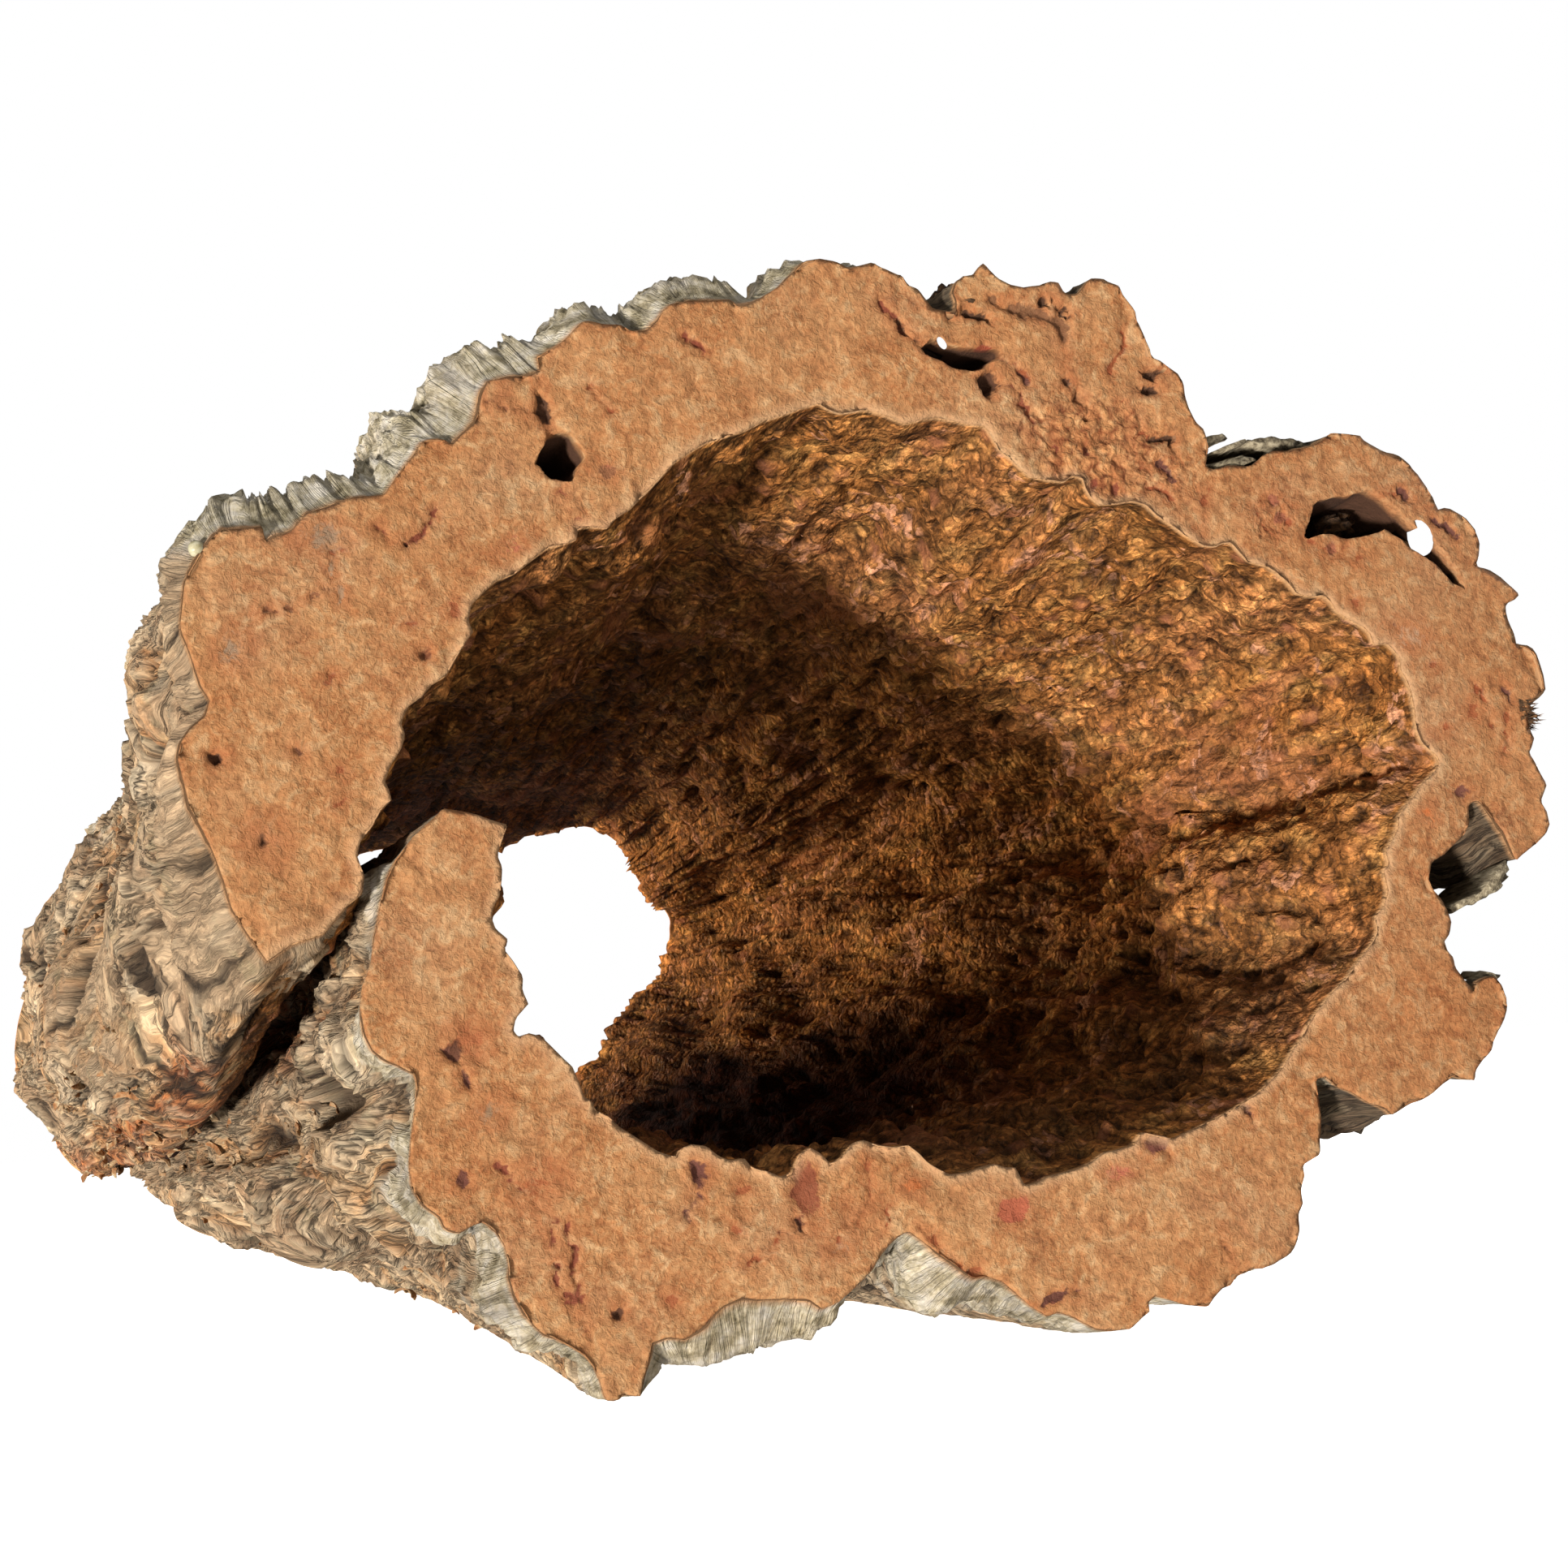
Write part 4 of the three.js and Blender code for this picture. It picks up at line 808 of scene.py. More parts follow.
# %% The lines of the near saw cut
# Colour, depth and half width of each kind of line.
KINDS = {
    "rust": ((150, 74, 40), 0.35, 0.34), "red": ((122, 52, 36), 0.5, 0.42),
    "maroon": ((84, 44, 44), 0.6, 0.5), "dark": ((44, 27, 20), 1.4, 0.5),
    "grey": ((166, 134, 104), 0.2, 0.5), "thin": ((136, 84, 54), 0.3, 0.24),
    "slot": ((40, 24, 18), 2.6, 0.62), "groove": ((124, 84, 56), 0.9, 0.8),
}
LINES = [
    ("red", [-67.4, 101.8, -65.8, 100.5, -64, 99.7, -62.7, 100.5, -61.1, 101.8, -60.2, 103.7]),
    ("dark", [-46.5, 120.1, -46.2, 117.5, -45.9, 115.3, -45.7, 113.6]),
    ("grey", [-72.8, 100.1, -73.1, 98, -72.3, 95.1, -71.8, 92.6]),
    ("thin", [-82.1, 91.5, -77.3, 92.4, -72.8, 94.2]), ("rust", [-40.6, 119.6, -39, 117.4, -37.6, 115.5]),
    ("red", [-28.1, 125.7, -26.3, 125.2, -25.1, 124.1]), ("red", [-42.9, 102.7, -42.6, 100.5]),
    ("red", [-45, 105.7, -44, 107.5]), ("thin", [-53.5, 116.7, -47.7, 115.9]),
    ("thin", [-50.8, 118.9, -51.2, 115.6]), ("maroon", [-63.8, 41.1, -61.6, 39.1, -61.3, 37.3, -60.8, 36.5]),
    ("red", [-52.6, 21.2, -52.6, 17.6, -52.4, 14.4, -49.9, 9.8]),
    ("red", [-50.5, 20.1, -50.3, 16.5, -50.4, 12.8, -49.4, 8.9]),
    ("red", [-58.2, 27.9, -55.2, 24.2, -53.5, 21.8]), ("maroon", [-34.4, 22.2, -35.9, 20.9, -36.4, 19.5]),
    ("rust", [-25.8, 15.9, -28.2, 14.1, -30.5, 13.3]),
    ("rust", [-13.3, 24.7, -13.3, 22, -13.3, 19.2, -15.4, 16.5, -16.3, 15.4]),
    ("rust", [-16.9, 19.5, -16.3, 17.6, -17.9, 14.9]), ("rust", [-11.2, 18.5, -12.1, 15.7, -13.8, 14]),
    ("rust", [-2.1, 9.4, -4, 11.5, -5.9, 13.6, -7.3, 15.7]),
    ("maroon", [38.3, 26.4, 39.9, 25.3, 40.3, 23.8]), ("maroon", [23.8, 23.2, 26.4, 22.1, 28.3, 20.7]),
    ("thin", [33.5, 10.8, 34.3, 8.7, 35, 6.7]), ("rust", [87.6, 75.6, 87.5, 72.3, 85.8, 69]),
    ("maroon", [4, 4.4, 7.2, 4.7, 10.5, 5.5, 13.1, 5.6]), ("red", [-1.3, 132.2, 1.4, 128.7, 3.7, 126.7]),
    ("dark", [1.4, 128.7, 3.7, 126.7, 5.1, 125]), ("slot", [26.2, 119.3, 27.1, 118.7, 28.1, 116.9]),
    ("groove", [15.7, 132.2, 18.1, 131.1, 21.3, 130.6, 24.8, 129.6, 25.4, 127.4, 24.8, 124.1]),
    ("dark", [9.1, 130, 11.6, 130.4, 14.7, 129.3]), ("dark", [22.5, 132.7, 24, 131, 27.2, 130.6]),
    ("rust", [15.8, 124.4, 17.8, 122.6, 19.6, 121.3]), ("rust", [17.4, 119.1, 19.1, 116.8, 19.2, 112]),
    ("maroon", [16.4, 123.9, 18.1, 122.1, 19.2, 120.9]), ("red", [16.9, 120, 17.9, 118.8, 19.1, 116.5]),
    ("red", [21.9, 116.2, 22.2, 112.6, 21.7, 108.5]),
    ("red", [26.4, 114.8, 26.4, 112.1, 28.1, 110, 26.3, 106.1]), ("dark", [30.8, 111, 31.2, 109.8]),
    ("red", [30.5, 108.2, 30.2, 105.8]), ("dark", [28.6, 113.9, 30.2, 113.5]),
    ("rust", [32.8, 118.9, 35.4, 115.6, 36.6, 114.1]), ("dark", [37.2, 113.8, 39.9, 114.1, 39.3, 112.1]),
    ("dark", [36.3, 122.9, 37.9, 122.6, 39.4, 123.3]), ("dark", [36.1, 120.5, 38.3, 120.6]),
    ("maroon", [37.5, 110.7, 38.9, 108.3]), ("rust", [35.4, 107.4, 37.7, 106.8, 39.2, 105.6]),
    ("rust", [57.6, 105, 53.4, 105.9, 51, 104.3, 52.2, 102.1, 54.1, 100.5, 56.6, 103.1]),
    ("rust", [58, 100.2, 61.5, 99, 64.7, 99, 62.7, 97.4]),
    ("maroon", [74.5, 107.3, 77.4, 104.4, 80.5, 102.2, 83.3, 100.6]),
    ("rust", [82.5, 79.9, 84.3, 77, 84.5, 73.5]), ("maroon", [88.2, 79.8, 88.1, 76.6]),
    ("rust", [44.2, 107.7, 43.4, 103.6, 42.6, 100.2]), ("rust", [71.4, 106.7, 74.8, 106.7, 77.3, 105]),
    ("rust", [31.5, 123, 33.8, 126.5, 33.8, 128.8]), ("rust", [35.7, 116.2, 33.5, 113.3, 34.4, 110.4]),
]
print(len(LINES), "lines")

# %% The spots of the near saw cut
# Middles of the small rusty spots.
RUST_SPOTS = [
    (-64, 90.2), (-59.1, 91.6), (-73.4, 83.9), (-73.3, 73.3), (-73.3, 69.7), (-72.1, 98.8), (-29.2, 22.2),
    (-38.7, 10.4), (-30.8, 17.9), (-70, 37.8), (77.2, 73.7), (81.8, 75.8), (-0.9, 9.3), (76.4, 82.2),
    (82.2, 76.5), (66.6, 97.3), (87.6, 75.2), (65.1, 91.4),
]
# Colour, middle, half sizes, turn in degrees and depth of every spot.
SPOTS = [((158, 84, 48), middle, (0.9, 0.7), 20, 0.25) for middle in RUST_SPOTS] + [
    ((196, 110, 84), (-51.4, 99.2), (2.3, 1), 30, 0.2), ((150, 96, 64), (-38.9, 108.4), (1.3, 1.1), 0, 0.3),
    ((110, 58, 34), (-62.6, 86.8), (0.8, 0.8), 0, 0.9), ((60, 34, 24), (-86.8, 74.9), (1, 0.8), 0, 1.3),
    ((90, 50, 34), (-77.9, 75.5), (0.8, 0.6), 0, 0.8), ((70, 40, 28), (-45.4, 9.9), (0.9, 0.8), 0, 1),
    ((56, 30, 22), (13.4, 120.9), (1.7, 1.9), 10, 3), ((70, 40, 28), (25.2, 121.8), (0.8, 0.7), 0, 0.9),
    ((190, 124, 80), (-82.2, 65.9), (3, 3), 0, 0.1), ((60, 36, 26), (-82.2, 65.9), (0.9, 0.8), 0, 0.9),
    ((50, 32, 24), (-64, 99.6), (0.5, 0.5), 0, 1), ((50, 32, 24), (35.1, 109.7), (0.5, 0.5), 0, 1),
    ((158, 132, 106), (-73.6, 100.5), (3.4, 2), 0, 0.15), ((158, 132, 106), (-84.3, 87.4), (2, 2.4), 0, 0.1),
    ((160, 130, 100), (-58.7, 33.7), (2.4, 1.6), 30, 0.1), ((176, 102, 62), (-60.7, 42), (2.8, 2.6), 0, 0.2),
    ((80, 44, 34), (-62.2, 40.8), (0.9, 1.2), 0, 0.6), ((168, 92, 52), (-53.7, 25.2), (3.8, 2.6), 20, 0.2),
    ((96, 52, 48), (-62.5, 26.2), (1.2, 1), 0, 0.4), ((88, 46, 46), (-34.5, 24.5), (1.5, 2), 0, 0.8),
    ((140, 70, 46), (-21.4, 21.4), (1.9, 4), 10, 0.4), ((70, 36, 30), (-22.6, 17.2), (0.8, 1.2), 0, 0.9),
    ((156, 130, 104), (-18.1, 13.7), (1.6, 1.2), 0, 0.1), ((210, 116, 60), (-7.6, 20.3), (1.6, 1.2), 0, 0.1),
    ((210, 116, 60), (72.4, 62.1), (1.6, 1.2), 0, 0.1), ((180, 92, 66), (5.3, 16.3), (2.5, 1.6), 15, 0.3),
    ((196, 110, 84), (20.4, 19.4), (2.5, 1.7), 0, 0.2), ((110, 58, 54), (26.1, 22.5), (2.2, 1.2), 20, 0.3),
    ((100, 54, 50), (79, 65), (1.5, 1), 0, 0.4), ((150, 64, 44), (13, 125.3), (1.4, 1), 0, 0.9),
    ((150, 86, 62), (54.1, 105.7), (1.2, 1), 0, 0.4), ((150, 86, 62), (55.1, 103.1), (1.3, 1), 0, 0.4),
    ((150, 86, 62), (62.8, 99), (1.3, 0.9), 0, 0.4), ((190, 150, 116), (73.3, 86.7), (3, 2.2), 0, 0.1),
    ((120, 66, 44), (70.8, 88.6), (0.9, 0.3), 10, 0.3),
]
print(len(SPOTS), "spots")

# %% The marks at a place of the near saw cut
def line_distance(u, v, points):
    """Distance of places from a line through some points."""
    away = np.full(np.shape(u), 99.0)
    for (u0, v0), (u1, v1) in zip(points[:-1], points[1:]):
        run_u, run_v = u1 - u0, v1 - v0
        share = np.clip(((u - u0) * run_u + (v - v0) * run_v) / (run_u**2 + run_v**2), 0, 1)
        away = np.minimum(away, np.hypot(u - u0 - share * run_u, v - v0 - share * run_v))
    return away


def marks_at(x, z):
    """Colour, weight and depth of the marks, and the rusty stain around them, on the near saw cut."""
    warp_x = x + 0.5 * noise(x / 1.3, z / 1.3, 41) + 0.4 * noise(x / 0.6, z / 0.6, 44)
    warp_z = z + 0.5 * noise(x / 1.3, z / 1.3, 42) + 0.4 * noise(x / 0.6, z / 0.6, 45)
    colour, weight, depth = np.zeros((len(x), 3)), np.zeros(len(x)), np.zeros(len(x))
    stain = np.zeros(len(x))

    def put(tint, own_weight, own_depth):
        closer = own_weight > weight
        colour[closer] = np.array(tone(*tint)[:3])
        np.maximum(weight, own_weight, out=weight)
        np.maximum(depth, own_depth, out=depth)

    for tint, (middle_x, middle_z), (half_x, half_z), turn, own_depth in SPOTS:
        c, s = math.cos(math.radians(turn)), math.sin(math.radians(turn))
        u, v = warp_x - middle_x, warp_z - middle_z
        away = np.hypot((u * c + v * s) / half_x, (v * c - u * s) / half_z)
        firm = 1 - smoothstep(away, 0.45, 1.3) if own_depth > 0.2 else 0.68 * np.exp(-(away**2))
        put(tint, firm, own_depth * (1 - smoothstep(away, 0.3, 1.1)))
        reach = (away - 1) * min(half_x, half_z)
        np.maximum(stain, 0.8 * (1 - smoothstep(reach, 0, 1.8)), out=stain)
    for kind, numbers in LINES:
        tint, own_depth, half = KINDS[kind]
        away = line_distance(warp_x, warp_z, pairs(numbers))
        broken = np.clip(0.62 + 0.8 * noise(x / 1.7, z / 1.7, 43), 0, 1)
        weight_here = (1 - smoothstep(away, 0.3 * half, 1.9 * half)) * broken
        put(tint, weight_here, own_depth * (1 - smoothstep(away, 0.2 * half, 1.6 * half)) * broken)
        np.maximum(stain, 0.75 * (1 - smoothstep(away, half, 1.7 + half)), out=stain)
    return colour, weight, depth, stain

# %% [markdown]
# ### The core with the two saw cuts
# The core is the part that the saw cut through. Its near face is filled with small triangles, because
# sawn cork is grainy and crumbles at the edge. The lining and the crust cover its sides, so there it
# lies a little deeper than the sheet's surface, except right behind each saw cut.

# %% The rules of the core
CORE_ALONGS = np.array([
    0, 0.35, 1, 2.5, 5, 10, 18, 28, 36, 44, 52, 60, 70, 82, 102, 126, 150, 175, 203, 230, 250, 262,
    267, 269.5, LENGTH,
])
CORE_SINK_OUTSIDE, CORE_SINK_INSIDE = 5.0, 4.0
CORE_EDGE_RUN = 6.0
# How far apart the points lie on the two sawn faces.
NEAR_GRID, FAR_GRID = 0.57, 1.6


def is_inside(points, outline):
    """Which points lie inside a closed outline."""
    crossings = np.zeros(len(points), int)
    x, z = points[:, 0], points[:, 1]
    for (x0, z0), (x1, z1) in zip(outline, np.roll(outline, -1, axis=0)):
        if z0 != z1:
            crossings += ((z0 > z) != (z1 > z)) & (x < x0 + (z - z0) * (x1 - x0) / (z1 - z0))
    return crossings % 2 == 1


def fill_outline(outline, step, extra, seed):
    """Scattered points inside an outline, and the triangles that join them to it."""
    low, high = outline.min(axis=0), outline.max(axis=0)
    i, j = np.meshgrid(*[np.arange(a / step, b / step) for a, b in zip(low, high)], indexing="ij")
    i, j = i.ravel(), j.ravel()
    round_i, round_j = np.round(i), np.round(j)
    jitter = np.stack([speckle(round_i, round_j, seed + k) for k in (0, 1)], axis=1)
    points = np.stack([i, j], axis=1) * step + 0.36 * step * jitter
    points = np.concatenate([points, extra]) if len(extra) else points
    points = points[is_inside(points, outline)]
    away = edge_distance(points, outline)
    points, away = points[away > 0.55 * step], away[away > 0.55 * step]
    everything = [Vector(p) for p in np.concatenate([outline, points]).tolist()]
    found = delaunay_2d_cdt(everything, [], [list(range(len(outline)))], 1, 1e-5)
    known = np.array([own[0] for own in found[3]])
    return points, away, known[np.array(found[2])]


def edge_distance(points, outline):
    """Distance of points from the nearest point of an outline."""
    tree = kdtree.KDTree(len(outline))
    for k, (x, z) in enumerate(outline):
        tree.insert((x, z, 0), k)
    tree.balance()
    return np.array([tree.find((x, z, 0))[2] for x, z in points])


def core_sink(from_cut, tips, most):
    """How deep the core lies under the surface, at a distance from the saw cut and from the lips."""
    return most * smoothstep(from_cut, 0.8, CORE_EDGE_RUN) * (0.12 + 0.88 * smoothstep(tips, 2, 18))


def knot_dent(a, l):
    """Depth of the hole that a dead side branch left in the lower limb."""
    away = np.hypot((a - 598) / 9, (l - 33) / 18) + 0.14 * noise(a / 4, l / 7, 131)
    return 11 * (1 - smoothstep(away, 0.3, 1.0))

# %% How the saw and the weather wore the core
def saw_depth(x, z, away):
    """How far the crumbly near face lies behind the plane of the saw."""
    chips = np.clip(noise(x / 2.3, z / 2.3, 51) - 0.1, 0, 1) * 1.4 * np.exp(-away / 1.2)
    edge = 0.15 * np.exp(-away / 0.4)
    wool_x = x + 1.6 * noise(x / 3.7, z / 3.7, 52)
    wool_z = z + 1.6 * noise(x / 3.7, z / 3.7, 53)
    wool = 0.3 * np.abs(noise(wool_x / 2.6, wool_z / 1.7, 54))
    wool += 0.14 * np.abs(noise(wool_x / 1.1, wool_z / 1.0, 55))
    rough = 0.1 * noise(x / 0.8, z / 0.8, 56)
    sunk = 0.3 * noise(x / 12, z / 12, 57) + 0.15 * noise(x / 5, z / 5, 58) + 0.45
    broken = 0.9 * crumbly_at(x, z) * (cells(x / 1.5 + noise(x / 2, z / 2, 59), z / 1.5, 60)[0] - 0.3)
    return np.maximum(sunk + rough - wool + broken, 0.02) * (1 - np.exp(-away / 0.5)) + chips + edge


def crumbly_at(x, z):
    """1 where the cork of the cut fell to crumbs: on the right shoulder and beside the cavity."""
    shoulder = ((x - 29) / 13) ** 2 + ((z - 112.5) / 8.5) ** 2 + 0.4 * (x - 29) * (z - 112.5) / 70
    return np.exp(-(shoulder**2)) + np.exp(-(((x - 54.5) / 3.4) ** 2) - ((z - 103) / 3.4) ** 2)


def distance_around(places):
    """Distance around the near section from the tip of the outer lip, negative just inside of it."""
    return np.where(places < 0, places * 1.6, np.interp(places, np.arange(COLUMNS), around))


def tip_distance(places):
    """How far columns are from the tip of the nearer lip, around the section."""
    here, whole, inner_tip = distance_around(places), around[-1], around[OUTSIDE_COLUMNS - 1]
    return np.minimum(np.minimum(np.abs(here), whole - here), np.abs(here - inner_tip))

# %% Sink the core's sides and fill its two saw cuts
core_places = fine_places[::2]
core_points, core_outward = surface(core_places, CORE_ALONGS)
is_out = core_places < OUTSIDE_COLUMNS
from_cut = np.minimum(CORE_ALONGS, LENGTH - CORE_ALONGS)[:, None]
sink = core_sink(from_cut, tip_distance(core_places), np.where(is_out, CORE_SINK_OUTSIDE, CORE_SINK_INSIDE))
core_dent = knot_dent(distance_around(core_places), CORE_ALONGS[:, None])
sink += 0.15 * (from_cut > 0.2) + 1.35 * core_dent * is_out
core_points = core_points - core_outward * sink[:, :, None]
ring_size = len(core_places)

line_points = []
for _, numbers in LINES:
    for (x0, z0), (x1, z1) in zip(pairs(numbers)[:-1], pairs(numbers)[1:]):
        steps_here = int(math.hypot(x1 - x0, z1 - z0) / 0.4) + 1
        side = np.array([z0 - z1, x1 - x0]) / math.hypot(x1 - x0, z1 - z0)
        for share in np.arange(steps_here) / steps_here:
            middle = np.array([x0 + (x1 - x0) * share, z0 + (z1 - z0) * share])
            line_points += [middle, middle + 0.38 * side, middle - 0.38 * side]
near_outline, far_outline = core_points[0], core_points[-1]
near_fill, near_away, near_faces = fill_outline(near_outline, NEAR_GRID, np.array(line_points), 61)
far_fill, _, far_faces = fill_outline(far_outline, FAR_GRID, [], 63)
print("near face:", len(near_fill), "inner points,", len(near_faces), "triangles; far face:", len(far_faces))

# %% Put the core together
def facing(faces, offset_ring, offset_fill, count):
    """Triangle corners renumbered from outline-then-fill to the whole mesh's vertices."""
    return np.where(faces < count, faces + offset_ring, faces - count + offset_fill)


depth = saw_depth(near_fill[:, 0], near_fill[:, 1], near_away) + marks_at(*near_fill.T)[2]
ring_away = np.zeros(ring_size)
ring_depth = saw_depth(near_outline[:, 0], near_outline[:, 1], ring_away)
alongs = np.repeat(CORE_ALONGS[:, None], ring_size, axis=1)
alongs[0] = np.minimum(ring_depth + 0.08, 0.32)
sides = to_metres(core_points[..., 0], alongs, core_points[..., 1])
near_part = to_metres(near_fill[:, 0], np.minimum(depth, 4.0), near_fill[:, 1])
far_part = to_metres(far_fill[:, 0], LENGTH - 0.2 - 0.3 * noise(*(far_fill / 2.6).T, 57) ** 2, far_fill[:, 1])
rows = len(CORE_ALONGS)
near_first = rows * ring_size
far_first = near_first + len(near_fill)
core_faces = grid_faces(rows, ring_size, closed=True).tolist()
core_faces += facing(near_faces, 0, near_first, ring_size).tolist()
core_faces += facing(far_faces, near_first - ring_size, far_first, ring_size)[:, ::-1].tolist()

# %% [markdown]
# ### The finish of the sawn cork
# Fresh-cut virgin cork is a warm tan. Its colour wanders from beige to orange over centimetres, it is
# mottled by crumbs of about a millimetre, and a paler rim runs along the hollow. Anything more than a
# little below the cut is in shade and brown with age.

# %% Sawn cork
sawn, tree, shader, place = new_finish("sawn virgin cork")
wide = grain(tree, place, 0.045, 2.0)
wide_colour = ramp(tree, wide, [(0.32, (194, 132, 80)), (0.5, (204, 150, 99)), (0.7, (198, 153, 112))])
wool = grain(tree, place, 0.42, 4.0, 0.58, Distortion=0.9)
wool_colour = ramp(tree, wool, [
    (0.3, (150, 82, 42)), (0.4, (190, 122, 72)),
    (0.54, (212, 154, 101)), (0.66, (232, 192, 142)),
])
colour = blend(tree, 0.5, wide_colour, wool_colour)
fine = grain(tree, place, 1.5, 4.0, 0.62, Distortion=0.5)
fine_tone = ramp(tree, fine, [(0.32, 0.64), (0.5, 0.89), (0.66, 1.05)])
colour = shade(tree, 0.9, colour, fine_tone)
wrinkle = ridges(tree, place, 0.55)
patchy = ramp(tree, grain(tree, place, 0.13, 2.0), [(0.42, 0.1), (0.6, 0.8)])
rusty = ramp(tree, wrinkle, [(0.0, (0.74, 0.56, 0.46, 1)), (0.03, (0.9, 0.8, 0.72, 1)), (0.09, (1, 1, 1, 1))])
colour = shade(tree, patchy, colour, rusty)
crumb = add(tree, "TexVoronoi", {"Vector": stir(tree, place, 0.5, 2.4), "Scale": 0.8}).outputs["Distance"]
crumbly_part = sums(tree, "ADD", value_of(tree, "crumbly"), grain(tree, place, 0.35))
broken = ramp(tree, crumbly_part, [(0.66, 0.0), (0.95, 1.0)])
# Painted shade between the crumbs and a painted highlight on their tops, both read from the distance to each
# crumb's middle.
crumbs = ramp(tree, crumb, [
    (0.2, (1.3, 1.27, 1.2, 1)), (0.5, (1.0, 0.94, 0.88, 1)), (0.8, (0.44, 0.28, 0.22, 1)),
])
colour = shade(tree, broken, colour, crumbs)
# Painted shade: the cut darkens towards its right side, where less light falls on it.
painted_falloff = change(tree, place, "X", 20.0, 80.0)
colour = shade(tree, painted_falloff, colour, (0.88, 0.84, 0.83, 1))
ragged = sums(tree, "MULTIPLY_ADD", grain(tree, place, 0.9, 4.0, Distortion=1.0), 1.2, -0.6)
stain_weight = ramp(tree, sums(tree, "ADD", value_of(tree, "stain"), ragged), [(0.25, 0.0), (0.8, 0.5)])
colour = blend(tree, stain_weight, colour, tone(178, 106, 62))
mark = add(tree, "Attribute", {}, attribute_name="mark")
mark_weight = ramp(tree, sums(tree, "ADD", mark.outputs["Alpha"], ragged), [(0.42, 0.0), (0.72, 0.85)])
colour = blend(tree, mark_weight, colour, mark.outputs["Color"])
colour = blend(tree, value_of(tree, "rim"), colour, tone(214, 172, 128))
sunk = change(tree, place, "Y", NEAR_CUT + 1.0, NEAR_CUT + 2.6)
inside = change(tree, place, "Y", FAR_CUT - 2.0, FAR_CUT - 1.0, 1.0, 0.0)
colour = blend(tree, sums(tree, "MULTIPLY", sunk, inside), colour, tone(84, 54, 36))
fine_relief = sums(tree, "MULTIPLY_ADD", wool, 0.6, fine)
fine_relief = sums(tree, "SUBTRACT", fine_relief, sums(tree, "MULTIPLY", crumb, broken))
join(tree, shader.inputs, {
    "Base Color": colour, "Roughness": 0.85, "Specular IOR Level": 0.25,
    "Normal": bump(tree, fine_relief, 0.5, 0.7),
})
print(sawn.name, "has", len(tree.nodes), "nodes")

# %% Lay the finish on the core
core = make_mesh("cork_core", np.concatenate([sides.reshape(-1, 3), near_part, far_part]), core_faces, sawn)
print("core:", triangles(core), "triangles before its holes")

# %% [markdown]
# A worm hole, a knot cavity and a slit go into the near face, and two small openings go through the
# wall. Each is a ragged closed body that is taken out of the core.

# %% Bodies that open the holes
def ring_of(outline, step):
    """A closed outline as evenly spaced points, turned the way that the faces expect."""
    ring = evenly(np.array(outline, float), step)[0]
    following = np.roll(ring, -1, axis=0)
    area = (following[:, 0] * ring[:, 1] - ring[:, 0] * following[:, 1]).sum()
    return ring[::-1] if area < 0 else ring


def cutter(name, outline, depths, scales, seed):
    """A ragged closed body that starts in front of the near face and narrows as it goes in."""
    outline = ring_of(outline, 0.55)
    centre = outline.mean(axis=0)
    turn = np.arange(len(outline))
    layers = []
    for depth_here, scale in zip(depths, scales):
        swell = 0.16 * np.sin(turn * 0.9 + depth_here * 1.7 + seed)
        swell += 0.25 * noise(turn / 2.5, depth_here / 1.5 + 0 * turn, seed)
        layer = centre + (outline - centre) * scale
        layer += swell[:, None] * (outline - centre) / np.linalg.norm(outline - centre, axis=1, keepdims=True)
        layers.append(to_metres(layer[:, 0], np.full(len(outline), depth_here), layer[:, 1]))
    return make_mesh(name, np.concatenate(layers), tube_faces(len(depths), len(outline)), sawn)


def rod(name, start, end, alongs, start_radius, end_radius, sides=18, seed=74):
    """A ragged closed cone between two places of the drawn section, from one distance to another."""
    start, end = np.array(start, float), np.array(end, float)
    axis = (end - start) / np.linalg.norm(end - start)
    across = np.array([axis[1], -axis[0]])
    turn = np.arange(sides) * 2 * math.pi / sides
    layers = []
    for share in np.linspace(0, 1, 6):
        radius = start_radius + (end_radius - start_radius) * share
        radius = radius * (1 + 0.1 * noise(turn * 1.3, share * 4 + 0 * turn, seed))
        middle = start + (end - start) * share
        x = middle[0] + across[0] * radius * np.cos(turn)
        z = middle[1] + across[1] * radius * np.cos(turn)
        along = alongs[0] + (alongs[1] - alongs[0]) * share
        layers.append(to_metres(x, along + radius * np.sin(turn), z))
    return make_mesh(name, np.concatenate(layers), tube_faces(6, sides), sawn)

# %% Open the holes
WORM_HOLE = [(-47.6, 109.5), (-45.8, 113.2), (-42.6, 113.4), (-41.4, 110.4), (-43.2, 107.2), (-46, 107.4)]
KNOT_CAVITY = [
    (58.4, 100.7), (59.5, 102.5), (60.5, 105), (61.9, 105.9), (64.8, 106.3), (69.9, 107), (71.5, 106.1),
    (73.4, 104.6), (75, 102.8), (77, 101.4), (79.1, 100.3), (79.5, 99.6), (80.6, 98.2), (82.6, 95.8),
    (83.2, 93.2), (81.2, 94), (79.2, 96.4), (77, 97.8), (74.8, 98.9), (73.8, 100.1), (71.1, 101.4),
    (68.9, 100.9), (67.2, 100.5), (65, 100.3), (63, 101), (61.2, 101), (59.1, 100.3),
]
SLIT = [
    (4, 125.2), (6.2, 126.8), (8.6, 126), (11.4, 125.6), (15.9, 125.7), (16.2, 124.7), (14.2, 123.6),
    (11.4, 122.2), (8.3, 122.7), (5.3, 124),
]
hole = cutter("hole", WORM_HOLE, [-1.5, 0, 1.5, 4, 8, 14, 20], [1, 1, 0.95, 0.95, 0.85, 0.7, 0.45], 71)
cavity = cutter("cavity", KNOT_CAVITY, [-1.5, 0, 1.5, 4, 9, 15, 24], [1, 1, 1, 1, 0.95, 0.85, 0.5], 72)
slit = cutter("slit", SLIT, [-1.5, 0, 1.5, 4, 8, 14], [1, 1, 0.95, 0.9, 0.8, 0.5], 73)
VENT = ("vent", (76.9, 100.5), (91.7, 105.4), (0.5, 20), 2.6, 3.4)
